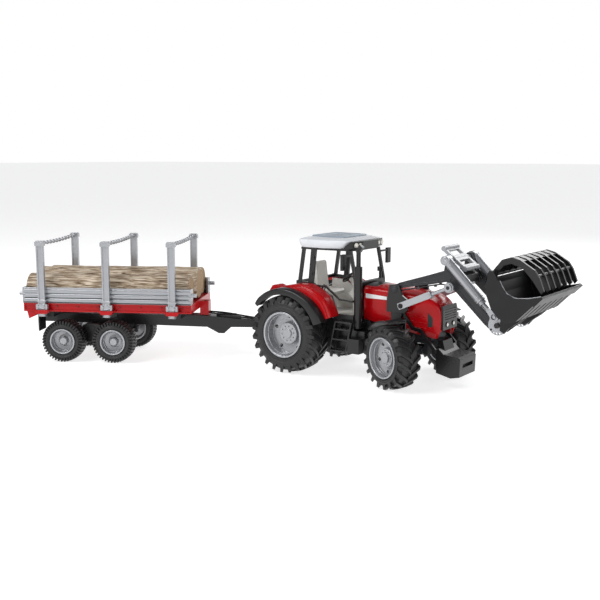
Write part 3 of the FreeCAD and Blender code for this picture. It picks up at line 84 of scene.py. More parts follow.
def moulded(name, look):
    # moulded plastic or rubber: patchy colour, fine grain, edges lightened as a painted highlight, a little
    # dust on top
    mat = bpy.data.materials.new(name)
    mat.use_nodes = True
    tree = mat.node_tree
    tree.nodes.clear()
    r, g, b = look["colour"]
    out = node(tree, "ShaderNodeOutputMaterial")
    shade = node(tree, "ShaderNodeBsdfPrincipled")
    shade.inputs["Metallic"].default_value = look.get("metal", 0.0)
    shade.inputs["Coat Weight"].default_value = look.get("coat", 0.0)
    shade.inputs["Coat Roughness"].default_value = 0.12
    shade.inputs["IOR"].default_value = 1.47
    shade.inputs["Specular IOR Level"].default_value = look.get("gloss", 0.45)
    link(tree, shade.outputs["BSDF"], out.inputs["Surface"])
    coords = node(tree, "ShaderNodeTexCoord")
    patches = node(tree, "ShaderNodeTexNoise", Scale=look.get("patch", 35.0), Detail=4.0)
    grain = node(tree, "ShaderNodeTexNoise", Scale=look.get("grain", 1400.0), Detail=3.0)
    for tex in (patches, grain):
        link(tree, coords.outputs["Object"], tex.inputs["Vector"])
    vary = look.get("vary", 0.12)
    tone = node(tree, "ShaderNodeValToRGB")
    tone.color_ramp.elements[0].position = 0.3
    tone.color_ramp.elements[1].position = 0.7
    tone.color_ramp.elements[0].color = (r * (1 - vary), g * (1 - vary), b * (1 - vary), 1)
    tone.color_ramp.elements[1].color = (r * (1 + vary), g * (1 + vary), b * (1 + vary), 1)
    link(tree, patches.outputs["Fac"], tone.inputs["Fac"])
    # painted highlight on the edges, from how far the rounded normal leans from the flat one
    soft = node(tree, "ShaderNodeBevel", samples=4, Radius=look.get("edge", 0.0006))
    flat = node(tree, "ShaderNodeNewGeometry")
    lean = node(tree, "ShaderNodeVectorMath", operation="DOT_PRODUCT")
    link(tree, soft.outputs["Normal"], lean.inputs[0])
    link(tree, flat.outputs["Normal"], lean.inputs[1])
    edgeHighlightMask = node(tree, "ShaderNodeMapRange")
    edgeHighlightMask.inputs["From Min"].default_value = 0.995
    edgeHighlightMask.inputs["From Max"].default_value = 0.86
    edgeHighlightMask.inputs["To Max"].default_value = look.get("edgeHighlight", 0.25)
    link(tree, lean.outputs["Value"], edgeHighlightMask.inputs["Value"])
    edged = node(tree, "ShaderNodeMix", data_type="RGBA")
    paler = (min(1, r + 0.2), min(1, g + 0.2), min(1, b + 0.2))
    edged.inputs[7].default_value = (*look.get("edgeColour", paler), 1)
    link(tree, edgeHighlightMask.outputs["Result"], edged.inputs[0])
    link(tree, tone.outputs["Color"], edged.inputs[6])
    # dust settles on faces that look up
    split = node(tree, "ShaderNodeSeparateXYZ")
    link(tree, flat.outputs["Normal"], split.inputs["Vector"])
    settle = node(tree, "ShaderNodeMath", operation="MULTIPLY")
    link(tree, split.outputs["Z"], settle.inputs[0])
    link(tree, patches.outputs["Fac"], settle.inputs[1])
    amount = node(tree, "ShaderNodeMapRange")
    amount.inputs["From Min"].default_value = 0.3
    amount.inputs["From Max"].default_value = 0.8
    amount.inputs["To Max"].default_value = look.get("dust", 0.06)
    link(tree, settle.outputs["Value"], amount.inputs["Value"])
    dusty = node(tree, "ShaderNodeMix", data_type="RGBA")
    dusty.inputs[7].default_value = (0.55, 0.53, 0.5, 1)
    link(tree, amount.outputs["Result"], dusty.inputs[0])
    link(tree, edged.outputs[2], dusty.inputs[6])
    link(tree, dusty.outputs[2], shade.inputs["Base Color"])
    rough = node(tree, "ShaderNodeMapRange")
    spread = look.get("spread", 0.08)
    rough.inputs["To Min"].default_value = max(0.03, look["rough"] - spread)
    rough.inputs["To Max"].default_value = look["rough"] + spread
    link(tree, patches.outputs["Fac"], rough.inputs["Value"])
    link(tree, rough.outputs["Result"], shade.inputs["Roughness"])
    bump = node(tree, "ShaderNodeBump", Strength=look.get("bump", 0.12), Distance=0.0002)
    link(tree, grain.outputs["Fac"], bump.inputs["Height"])
    link(tree, soft.outputs["Normal"], bump.inputs["Normal"])
    link(tree, bump.outputs["Normal"], shade.inputs["Normal"])
    return mat


# each look's edgeColour is the colour of the painted highlight on its edges
looks = {
    "red": {"colour": (0.40, 0.0025, 0.005), "rough": 0.22, "coat": 0.12, "edgeHighlight": 0.14, "gloss": 0.22,
            "edgeColour": (0.7, 0.05, 0.05), "bump": 0.04, "vary": 0.07, "dust": 0.004},
    "darkRed": {"colour": (0.17, 0.004, 0.006), "rough": 0.4, "edgeHighlight": 0.2, "dust": 0.01},
    "black": {"colour": (0.0065, 0.0065, 0.0072), "rough": 0.3, "edgeHighlight": 0.3, "gloss": 0.5,
              "edgeColour": (0.09, 0.09, 0.095), "dust": 0.012},
    "tyre": {"colour": (0.011, 0.011, 0.0118), "rough": 0.4, "edgeHighlight": 0.35, "bump": 0.3, "gloss": 0.5,
             "edgeColour": (0.06, 0.06, 0.06), "dust": 0.018, "grain": 1800.0, "edge": 0.0008},
    "darkGrey": {"colour": (0.024, 0.025, 0.028), "rough": 0.36, "edgeHighlight": 0.4, "gloss": 0.4,
                 "edgeColour": (0.2, 0.2, 0.21), "dust": 0.015},
    "silver": {"colour": (0.37, 0.38, 0.40), "rough": 0.25, "metal": 0.6, "edgeHighlight": 0.5, "spread": 0.03,
               "edgeColour": (0.85, 0.85, 0.87), "vary": 0.04, "bump": 0.03, "dust": 0.01},
    "grey": {"colour": (0.30, 0.31, 0.33), "rough": 0.28, "edgeHighlight": 0.35, "coat": 0.2, "dust": 0.02},
    "pale": {"colour": (0.66, 0.68, 0.71), "rough": 0.27, "coat": 0.3, "edgeHighlight": 0.4,
             "edgeColour": (0.9, 0.9, 0.92), "vary": 0.04, "dust": 0.02, "bump": 0.04},
    "hatch": {"colour": (0.27, 0.32, 0.38), "rough": 0.3, "edgeHighlight": 0.3, "vary": 0.06, "dust": 0.02},
    "beige": {"colour": (0.60, 0.585, 0.545), "rough": 0.5, "edgeHighlight": 0.25, "vary": 0.06, "dust": 0.02},
    "board": {"colour": (0.36, 0.37, 0.39), "rough": 0.25, "metal": 0.6, "edgeHighlight": 0.5,
              "edgeColour": (0.85, 0.86, 0.87), "vary": 0.04, "dust": 0.01, "bump": 0.03,
              "spread": 0.03},
    "lamp": {"colour": (0.82, 0.80, 0.72), "rough": 0.12, "coat": 0.8, "edgeHighlight": 0.1, "vary": 0.03,
             "bump": 0.3, "grain": 700.0},
    "white": {"colour": (0.80, 0.80, 0.80), "rough": 0.35, "edgeHighlight": 0.0, "vary": 0.02, "dust": 0.0},
    "bucket": {"colour": (0.008, 0.008, 0.009), "rough": 0.38, "edgeHighlight": 0.4, "gloss": 0.35,
               "edgeColour": (0.12, 0.12, 0.12), "vary": 0.2, "dust": 0.012},
    "rim": {"colour": (0.36, 0.365, 0.38), "rough": 0.27, "metal": 0.55, "edgeHighlight": 0.6,
            "edgeColour": (0.8, 0.8, 0.82), "vary": 0.04, "bump": 0.03, "dust": 0.01,
            "spread": 0.03},
}
mats = {name: moulded(name, look) for name, look in looks.items()}


def barkMaterial():
    # bark fissures run along the log, and the sawn ends show rings
    look = {"dark": (0.07, 0.04, 0.022), "mid": (0.27, 0.19, 0.115), "light": (0.62, 0.53, 0.42),
            "cut": (0.50, 0.34, 0.19), "ring": (0.27, 0.15, 0.07)}
    made = []
    for name in ("bark", "sawn"):
        mat = bpy.data.materials.new(name)
        mat.use_nodes = True
        tree = mat.node_tree
        shade = tree.nodes["Principled BSDF"]
        coords = node(tree, "ShaderNodeTexCoord")
        turned = node(tree, "ShaderNodeMapping", vector_type="TEXTURE")
        turned.inputs["Rotation"].default_value = (0, 0, trailerPlace.to_euler().z)
        stretch = node(tree, "ShaderNodeMapping")
        stretch.inputs["Scale"].default_value = (38, 420, 420) if name == "bark" else (60, 60, 60)
        link(tree, turned.outputs["Vector"], stretch.inputs["Vector"])
        link(tree, coords.outputs["Object"], turned.inputs["Vector"])
        streaks = node(tree, "ShaderNodeTexNoise", Scale=1.0, Detail=5.0, Roughness=0.6, Distortion=0.7)
        link(tree, stretch.outputs["Vector"], streaks.inputs["Vector"])
        ramp = node(tree, "ShaderNodeValToRGB")
        if name == "bark":
            tints = ((0.36, look["dark"]), (0.47, look["mid"]), (0.60, look["light"]))
            height = streaks.outputs["Fac"]
        else:
            tints = ((0.2, look["ring"]), (0.6, look["cut"]), (0.9, look["cut"]))
            height = node(tree, "ShaderNodeTexWave", Scale=2.2, Distortion=1.6,
                          wave_type="RINGS").outputs["Fac"]
            link(tree, stretch.outputs["Vector"], height.node.inputs["Vector"])
        ramp.color_ramp.elements.new(0.5)
        for element, (spot, tint) in zip(ramp.color_ramp.elements, tints):
            element.position = spot
            element.color = (*tint, 1)
        link(tree, height, ramp.inputs["Fac"])
        link(tree, ramp.outputs["Color"], shade.inputs["Base Color"])
        shade.inputs["Roughness"].default_value = 0.72
        bump = node(tree, "ShaderNodeBump", Strength=0.8, Distance=0.0012)
        link(tree, height, bump.inputs["Height"])
        link(tree, bump.outputs["Normal"], shade.inputs["Normal"])
        made.append(mat)
    return made


mats["bark"], mats["sawn"] = barkMaterial()
print("materials ready")


# mesh helpers

def finishMesh(name, bm, place, body, matNames, replaces=(), smooth=40, bevel=0.0):
    # bakes the drawing place into the mesh, so every piece sits at the origin like the CAD nodes
    bmesh.ops.remove_doubles(bm, verts=bm.verts, dist=1e-4)
    bmesh.ops.recalc_face_normals(bm, faces=bm.faces)
    bm.transform(place)
    mesh = bpy.data.meshes.new(name)
    bm.to_mesh(mesh)
    bm.free()
    obj = bpy.data.objects.new(name, mesh)
    bpy.context.scene.collection.objects.link(obj)
    for matName in matNames:
        mesh.materials.append(mats[matName])
    mesh.shade_smooth()
    mesh.set_sharp_from_angle(angle=math.radians(smooth))
    if bevel:
        rounding = obj.modifiers.new("edges", "BEVEL")
        rounding.width = bevel * 0.001
        rounding.segments = 2
        rounding.limit_method = "ANGLE"
        rounding.angle_limit = math.radians(40)
        rounding.harden_normals = True
    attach(obj, body)
    if replaces:
        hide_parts(*replaces)
    return obj


def ringFaces(bm, rings, closed=True, capped=True, matIndex=0):
    # skins a list of point rings, each with the same number of points
    loops = [[bm.verts.new(p) for p in ring] for ring in rings]
    count = len(loops[0])
    for a, b in zip(loops, loops[1:]):
        for i in range(count if closed else count - 1):
            j = (i + 1) % count
            bm.faces.new((a[i], a[j], b[j], b[i])).material_index = matIndex
    if capped:
        bm.faces.new(list(reversed(loops[0]))).material_index = matIndex
        bm.faces.new(loops[-1]).material_index = matIndex
    return loops


def lathe(bm, profile, steps, closed=True, matIndex=0, centre=(0, 0)):
    # turns (y, radius) points about the Y axis through centre (x, z)
    rings = []
    for k in range(steps):
        a = 2 * math.pi * k / steps
        rings.append([(centre[0] + r * math.cos(a), y, centre[1] + r * math.sin(a))
                      for y, r in profile])
    rings.append(rings[0])
    ringFaces(bm, rings, closed=closed, capped=False, matIndex=matIndex)


def plate(bm, points, low, high, plane="XZ", matIndex=0):
    # a flat outline pushed from low to high across its plane
    def at(p, depth):
        a, b = p
        return {"XZ": (a, depth, b), "XY": (a, b, depth), "YZ": (depth, a, b)}[plane]
    ringFaces(bm, [[at(p, low) for p in points], [at(p, high) for p in points]],
              matIndex=matIndex)


def block(bm, x, y, z, matIndex=0):
    plate(bm, [(x[0], y[0]), (x[1], y[0]), (x[1], y[1]), (x[0], y[1])], z[0], z[1], "XY", matIndex)


def turnedRing(spot, r, side, other, steps):
    return [spot + r * (math.cos(t) * side + math.sin(t) * other)
            for t in [2 * math.pi * k / steps for k in range(steps)]]


def button(bm, spot, axis, radius, height, matIndex=0, steps=20):
    # a bolt head or cap with a rounded rim
    spot, axis = Vector(spot), Vector(axis).normalized()
    side = axis.orthogonal().normalized()
    other = axis.cross(side)
    rings = []
    for r, h in ((radius, 0), (radius, height * 0.6), (radius * 0.86, height), (radius * 0.1, height)):
        rings.append(turnedRing(spot + axis * h, r, side, other, steps))
    ringFaces(bm, rings, matIndex=matIndex)


def pipe(bm, points, radius, matIndex=0, steps=10, smoothing=4):
    # a tube along a soft line through these points
    pts = [Vector(p) for p in points]
    line = []
    for i in range(len(pts) - 1):
        p0, p1 = pts[max(i - 1, 0)], pts[i]
        p2, p3 = pts[i + 1], pts[min(i + 2, len(pts) - 1)]
        for k in range(smoothing):
            t = k / smoothing
            line.append(0.5 * (2 * p1 + (p2 - p0) * t + (2 * p0 - 5 * p1 + 4 * p2 - p3) * t * t
                               + (3 * p1 - p0 - 3 * p2 + p3) * t ** 3))
    line.append(pts[-1])
    rings = []
    side = (line[1] - line[0]).orthogonal().normalized()
    for i, p in enumerate(line):
        along = (line[min(i + 1, len(line) - 1)] - line[max(i - 1, 0)]).normalized()
        side = (side - along * side.dot(along)).normalized()
        other = along.cross(side)
        rings.append(turnedRing(p, radius, side, other, steps))
    ringFaces(bm, rings, matIndex=matIndex)


def between(table, x):
    # straight reading between (x, value) pairs in rising x
    if x <= table[0][0]:
        return table[0][1]
    for (a, u), (b, v) in zip(table, table[1:]):
        if x <= b:
            return u + (v - u) * (x - a) / (b - a)
    return table[-1][1]


sides = (("right", -1), ("left", 1))


def wheelPlace(kind, side, sign):
    if kind == "rear":
        out, height = layout["rearHub"]
        return tractorPlace @ Matrix.Translation((0, sign * out, height))
    if kind == "front":
        out, height = layout["frontHub"]
        return (tractorPlace
                @ Matrix.Translation((layout["wheelbase"], sign * layout["kingpin"], height))
                @ Matrix.Rotation(math.radians(layout["steer"]), 4, "Z")
                @ Matrix.Translation((0, sign * out, 0)))
    out, height = layout["trailerHub"]
    middle, reach = layout["bogie"]
    return trailerPlace @ Matrix.Translation((middle + side * reach, sign * out, height))


# tyres: a bulged carcass with chevron lugs that run over the shoulder

def tyre(name, kind, side, sign, body, nodeName):
    look = tyreLooks[kind]
    bm = bmesh.new()
    radius, rim, half = look["radius"], look["rim"], look["half"]
    base = radius - look["depth"]
    carcass = [(-half + 3.5, rim), (-half + 1.2, rim + 0.8), (-half + 0.2, rim + look["bulge"] * 0.45),
               (-half, rim + look["bulge"]), (-half + 0.8, base - 7), (-half + 3.2, base - 2.6),
               (-half * 0.66, base - 0.4), (0, base + 0.7)]
    profile = carcass + [(-y, r) for y, r in reversed(carcass[:-1])]
    lathe(bm, profile, 96, closed=False)
    # two fine rings moulded on each side wall
    for wall in (-1, 1):
        for r in (rim + 2.6, rim + look["bulge"] * 0.7):
            ring = [(wall * (half - 0.6), r - 0.5), (wall * (half + 0.05), r - 0.25),
                    (wall * (half + 0.05), r + 0.25), (wall * (half - 0.6), r + 0.5)]
            lathe(bm, ring, 96)
    count = look["lugs"]
    for lugSide in (-1, 1):
        for k in range(count):
            start = 2 * math.pi * (k + (0.5 if lugSide > 0 else 0)) / count
            rings = []
            for t in (0.0, 0.25, 0.5, 0.75, 0.93, 1.0, 1.0):
                i = len(rings)
                y = -2.0 + (half - 0.4 + 2.0) * t
                top = radius - look["crown"] * t * t
                low = base - 3.0
                if i == 5:
                    y, top, low = half - 0.2, radius - look["crown"] - 3.2, base - 6
                if i == 6:
                    y, top, low = half - 0.4, radius - look["wrap"], radius - look["wrap"] - 1.5
                turn = start + look["sweep"] * (t ** 0.8)
                wide = look["width"] * (1 + 0.22 * t) / radius
                ring = []
                for r, spread in ((low, 1.25), (top, 0.8)):
                    for flank in ((-1, 1) if r == low else (1, -1)):
                        a = turn + flank * wide * spread / 2
                        out = 1.0 if i < 5 else (0.5 if i == 5 else 0.2)
                        yy = lugSide * (y + (out if r == top else 0))
                        yy = max(-half, min(half, yy))
                        ring.append((r * math.cos(a), yy, r * math.sin(a)))
                rings.append(ring)
            ringFaces(bm, rings)
    finishMesh(name, bm, wheelPlace(kind, side, sign), body, ["tyre"],
               replaces=(nodeName,), smooth=32)


tyreLooks = {
    "rear": {"radius": 58.5, "rim": 34.0, "half": 21.5, "depth": 4.4, "bulge": 11, "lugs": 23,
             "crown": 2.0, "wrap": 13, "sweep": 0.33, "width": 5.0},
    "front": {"radius": 45.2, "rim": 28.6, "half": 17.3, "depth": 3.8, "bulge": 7.5, "lugs": 18,
              "crown": 1.6, "wrap": 9.0, "sweep": 0.33, "width": 5.0},
    "trailer": {"radius": 33.1, "rim": 19.6, "half": 12.5, "depth": 1.8, "bulge": 6.5, "lugs": 40,
                "crown": 1.0, "wrap": 4.5, "sweep": 0.08, "width": 2.7},
}
# each wheel is (kind, end of the bogie, side, body, CAD node, ending of its pieces' names)
wheels = [(kind, 0, sign, "%s_wheel_%s" % (kind, word), "%s_tyre_%s" % (kind, word), word.title())
          for word, sign in sides for kind in ("rear", "front")]
wheels += [("trailer", side, sign, "trailer_wheels_" + word, "trailer_tyres_" + word,
            word.title() + hand.title())
           for word, side in (("front", 1), ("rear", -1)) for hand, sign in sides]
for kind, side, sign, body, nodeName, ending in wheels:
    tyre(kind + "Tyre" + ending, kind, side, sign, body, nodeName)
print("tyres made")


# wheel trim: nuts, a bright ring at the rim's lip and a step down each dish

trimLooks = {
    "rear": {"nuts": 10, "nutCircle": 11.0, "nut": 1.15, "face": 5.5},
    "front": {"nuts": 8, "nutCircle": 10.0, "nut": 0.95, "face": 8.9},
    "trailer": {"nuts": 6, "nutCircle": 6.3, "nut": 0.7, "face": 5.9},
}


def wheelTrim(kind, side, sign, body, name):
    look = trimLooks[kind]
    bm = bmesh.new()
    for k in range(look["nuts"]):
        a = 2 * math.pi * (k + 0.5) / look["nuts"]
        spot = (look["nutCircle"] * math.cos(a), sign * look["face"], look["nutCircle"] * math.sin(a))
        button(bm, spot, (0, sign, 0), look["nut"], 0.9, steps=6)
    # bead seat ring at the rim's lip in brighter plastic, and a raised step down the dish
    rim, half = tyreLooks[kind]["rim"], tyreLooks[kind]["half"]
    lathe(bm, [(sign * (half - 0.9), rim - 2.2), (sign * (half + 0.15), rim - 1.9),
               (sign * (half + 0.35), rim - 0.9), (sign * (half + 0.1), rim + 0.1),
               (sign * (half - 0.9), rim + 0.2)], 96, matIndex=1)
    lathe(bm, [(sign * (half - 6.4), rim - 4.4), (sign * (half - 5.6), rim - 4.9),
               (sign * (half - 4.8), rim - 4.3), (sign * (half - 5.6), rim - 3.2)], 96)
    finishMesh(name, bm, wheelPlace(kind, side, sign), body,
               ["rim", "silver"], smooth=35)


for kind, side, sign, body, nodeName, ending in wheels:
    wheelTrim(kind, side, sign, body, kind + "Trim" + ending)
print("wheel trim made")


# hood: one soft shell lofted along its length, open below

hoodLook = {"crown": 2.2, "cheek": 9.5, "corner": 7.5, "roundness": 0.6, "wall": 1.8,
            "stripeDrop": 3.2, "stripeTall": 6.6, "stripeEnd": 153.0, "cowlEnd": 123.0, "ribs": 3}
hoodHalf = [(105.6, 30.9), (150, 30.2), (204.5, 28.0), (216, 25.2), (222, 23.2), (226, 21.6)]
hoodTop = [(105.6, 136.2), (160, 133.0), (200.5, 128.0), (211, 124.6), (218.5, 120.2), (223.5, 115.0),
           (226, 109.5)]
hoodBottom = [(105.6, 86.0), (221.5, 68.0), (226, 79.5)]


def hoodRing(x, grow=0.0):
    half = between(hoodHalf, x) + grow
    top = between(hoodTop, x) + grow
    low = between(hoodBottom, x)
    cheek = min(hoodLook["cheek"], (top - low) * 0.5)
    ring = [(x, -half, low), (x, -half, low + (top - cheek - low) * 0.5), (x, -half, top - cheek)]
    arc = []
    for k in range(1, 9):
        t = math.pi / 2 * k / 9
        y = half - hoodLook["corner"] * (1 - math.cos(t))
        arc.append((x, -y, top - hoodLook["crown"] - cheek
                    + cheek * math.sin(t) ** hoodLook["roundness"]))
    ring += arc
    for k in range(7):
        flat = half - hoodLook["corner"]
        y = -flat * (1 - k / 3.0)
        ring.append((x, y, top - hoodLook["crown"] * (y / flat) ** 2))
    ring += [(a, -b, c) for a, b, c in reversed(arc)]
    ring += [(x, half, top - cheek), (x, half, low + (top - cheek - low) * 0.5), (x, half, low)]
    return ring


def hoodPiece():
    bm = bmesh.new()
    stations = [105.8, 107, 112, 120, 135, 150, 160, 175, 190, 200, 206, 211, 215, 218.5, 221, 223,
                224.5, 225.5]
    rings = [hoodRing(x) for x in stations]
    # the nose tucks in to a flat face
    last = rings[-1]
    rings.append([(226.0, y * 0.965, 96 + (z - 96) * 0.965) for x, y, z in last])
    loops = ringFaces(bm, rings, closed=False, capped=False)
    bm.faces.new(loops[-1])
    obj = finishMesh("hoodShell", bm, tractorPlace, "hood", ["red"],
                     replaces=("hood",), smooth=50)
    wall = obj.modifiers.new("wall", "SOLIDIFY")
    wall.thickness = hoodLook["wall"] * 0.001
    wall.offset = -1
    for word, sign in sides:
        # pale stripe at the rear of the flank
        bm = bmesh.new()
        strip = []
        for k in range(9):
            x = 109 + k * (hoodLook["stripeEnd"] - 109) / 8
            high = between(hoodTop, x) - hoodLook["cheek"] - hoodLook["stripeDrop"]
            low = high - hoodLook["stripeTall"]
            y = sign * (between(hoodHalf, x) + 0.25)
            lean = (k / 8) * 2.4
            strip.append([(x, y, low + lean), (x, y, high), (x, y - sign * 0.6, high),
                          (x, y - sign * 0.6, low + lean)])
        ringFaces(bm, strip)
        finishMesh("hoodStripe" + word.title(), bm, tractorPlace, "hood", ["white"])
        # soft ribs low on the flank
        bm = bmesh.new()
        for row in range(hoodLook["ribs"]):
            rings = []
            for x in (160, 163, 180, 198, 204, 206):
                low = 84 + row * 7.0 - (x - 160) * 0.08
                y = sign * between(hoodHalf, x)
                out = 0.8 if 162 < x < 205 else 0.1
                rings.append([(x, y - sign * 0.8, low), (x, y + sign * out, low + 1.0),
                              (x, y + sign * out, low + 2.0), (x, y - sign * 0.8, low + 3.2)])
            ringFaces(bm, rings)
        finishMesh("hoodRibs" + word.title(), bm, tractorPlace, "hood", ["red"])
        # dark air slot near the nose
        bm = bmesh.new()
        rings = []
        for x in (208, 211.5, 215):
            y = sign * (between(hoodHalf, x) + 0.15)
            rings.append([(x, y, 84), (x, y, 104 - (x - 208)), (x, y - sign * 0.6, 104 - (x - 208)),
                          (x, y - sign * 0.6, 84)])
        ringFaces(bm, rings)
        finishMesh("hoodSlot" + word.title(), bm, tractorPlace, "hood", ["black"])
    # black cowl panel across the top in front of the windscreen
    bm = bmesh.new()
    rings = []
    for x in (106.2, 112, 118, hoodLook["cowlEnd"]):
        half, top = between(hoodHalf, x), between(hoodTop, x)
        flat = half - hoodLook["corner"]
        wide = flat * (1.0 if x < 120 else 0.86)
        line = [(wide * t / 4.0) for t in range(-4, 5)]
        upper = [(x, y, top - hoodLook["crown"] * (y / flat) ** 2 + 0.3) for y in line]
        rings.append(upper + [(x, y, z - 1.0) for x, y, z in reversed(upper)])
    ringFaces(bm, rings)
    finishMesh("hoodCowl", bm, tractorPlace, "hood", ["black"], bevel=0.2)
    # pale lenses inside the dark lamp rings
    bm = bmesh.new()
    for y in (-9.4, 9.4):
        button(bm, (229.7, y, 87), (1, 0, 0), 2.5, 0.7, steps=24)
    finishMesh("headLenses", bm, tractorPlace, "hood", ["lamp"])


hoodPiece()
print("hood made")


# fenders: the crown follows the wheel, with two grooves along the outer shoulder

fenderLook = {"inner": 50.05, "outer": 74.0, "under": 66.6, "groove": 0.8, "start": 23, "step": 1.5,
              "flareStart": 20, "flareLow": 59.6, "lampTurn": 117, "lampOut": 72.2, "lampAcross": 66}
fenderTop = [(21.5, 81.7), (43.1, 84.9), (56, 83.0), (68.1, 80.4), (88.4, 72.9), (104.1, 69.9),
             (109.5, 74.9), (114.2, 76.8), (118.5, 73.6), (122, 68.2)]
flareTop = [(20, 74.0), (36.6, 72.5), (50, 71.0), (62, 69.4), (133, 69.0), (140, 67.4)]


def fenderPieces(word, sign):
    bm = bmesh.new()
    rings = []
    inner, outer = fenderLook["inner"], fenderLook["outer"]
    axleHeight = layout["rearHub"][1]
    for k in range(67):
        deg = fenderLook["start"] + k * fenderLook["step"]
        a = math.radians(deg)
        top = max(fenderLook["under"] + 1.0, between(fenderTop, deg) - 0.1)
        drop = min(8.0, top - fenderLook["under"] - 0.8)
        g = fenderLook["groove"]
        section = [(inner, fenderLook["under"]), (inner, top - 0.8), (inner + 0.8, top)]
        for f in (0.0, 0.2, 0.26, 0.29, 0.35, 0.38, 0.44, 0.58, 0.64, 0.67, 0.73, 0.76, 0.82, 0.92, 1.0):
            t = math.pi / 2 * f
            deep = g if (0.28 < f < 0.36 or 0.66 < f < 0.74) else 0.0
            section.append((outer - 8 + (8 - deep) * math.sin(t),
                            top - drop + (drop - deep) * math.cos(t)))
        section += [(outer, fenderLook["under"])]
        rings.append([(r * math.cos(a), sign * y, axleHeight + r * math.sin(a)) for y, r in section])
    ringFaces(bm, rings)
    finishMesh("fender" + word.title(), bm, tractorPlace, "tractor", ["red"],
               replaces=("fender_" + word,), smooth=38)
    # flare with a rolled lip
    bm = bmesh.new()
    rings = []
    low = fenderLook["flareLow"]
    for k in range(81):
        deg = fenderLook["flareStart"] + k * fenderLook["step"]
        a = math.radians(deg)
        top = between(flareTop, deg)
        section = [(74.05, low + 1.2), (74.05, top), (80, top), (85.4, top - 0.5), (87.4, top - 1.4),
                   (88.05, top - 2.6), (88.05, low), (86.9, low), (86.5, low + 1.0), (80, low + 1.2)]
        section = [(y, max(r, low)) for y, r in section]
        rings.append([(r * math.cos(a), sign * y, axleHeight + r * math.sin(a)) for y, r in section])
    ringFaces(bm, rings)
    finishMesh("flare" + word.title(), bm, tractorPlace, "tractor", ["black"],
               replaces=("fender_flare_" + word,), smooth=38)
    # lamp in the pod at the fender's rear
    bm = bmesh.new()
    a, out = math.radians(fenderLook["lampTurn"]), fenderLook["lampOut"]
    spot = Vector((out * math.cos(a), sign * fenderLook["lampAcross"], axleHeight + out * math.sin(a)))
    button(bm, spot, (-0.93, 0, 0.36), 2.4, 1.5)
    finishMesh("podLamp" + word.title(), bm, tractorPlace, "tractor", ["lamp"])


for word, sign in sides:
    fenderPieces(word, sign)
print("fenders made")


# roof: stacked rounded outlines, stepped like the moulding

roofLook = {"corner": 9.0, "vents": 6}


def roundOutline(xLow, xHigh, half, halfFront, z, corner, inset=0.0):
    # a rounded rectangle that narrows to the front from x 50
    points = []
    corners = ((xHigh - inset, halfFront - inset, 0), (xHigh - inset, -(halfFront - inset), -90),
               (xLow + inset, -(half - inset), -180), (xLow + inset, half - inset, -270))
    for cx, cy, turn in corners:
        sx = -1 if cx > 40 else 1
        sy = -1 if cy > 0 else 1
        for k in range(7):
            a = math.radians(turn + 90 - 15 * k)
            points.append((cx + sx * corner + corner * math.cos(a),
                           cy + sy * corner + corner * math.sin(a), z))
        if turn == -90:
            points.append((50, -(half - inset), z))
        if turn == -270:
            points.append((50, half - inset, z))
    return points


def roofPiece():
    bm = bmesh.new()
    levels = ((80.0, 186.65, 2.2, 2.0), (82.6, 189.5, 1.2, 0.6), (87.0, 194.5, 0.3, 0.0),
              (89.6, 197.2, 0.0, 0.0), (89.8, 198.2, 0.0, 0.4), (87.0, 199.4, 0.0, 3.2),
              (86.5, 200.6, 0.0, 6.2), (84.0, 201.3, 0.0, 9.0))
    rings = []
    for front, z, back, inset in levels:
        rings.append(roundOutline(2.6 + back, front, 53.9, 45.5, z, roofLook["corner"], inset))
    ringFaces(bm, rings)
    finishMesh("roofShell", bm, tractorPlace, "tractor", ["pale"],
               replaces=("cab_roof",), smooth=40)
    bm = bmesh.new()
    plateRings = []
    for grow, z in ((0.0, 201.3), (0.0, 202.6), (-1.0, 203.3), (-5.0, 203.35), (-5.6, 202.9),
                    (-9.0, 202.9)):
        plateRings.append(roundOutline(14.0 - grow, 73.0 + grow, 33 + grow, 31 + grow, z, 4.0))
    ringFaces(bm, plateRings)
    for k in range(roofLook["vents"]):
        x = 30 + 5.2 * k
        block(bm, (x, x + 2.2), (-19, 19), (202.8, 203.3))
    finishMesh("hatchPanel", bm, tractorPlace, "roof_hatch", ["hatch"],
               replaces=("roof_hatch",), smooth=40, bevel=0.25)


roofPiece()
print("roof made")


# logs: sawn trunks with a wandering radius and barked flanks

# each log is (across, radius, rear end, front end)
logLook = {"logs": [(-46.9, 22.0, -390.0, -133.0), (0.0, 24.6, -389.2, -130.0),
                    (47.6, 22.6, -390.5, -135.0)],
           "rest": 93.8, "rough": 0.55, "lump": 0.9, "stations": 90, "around": 72}


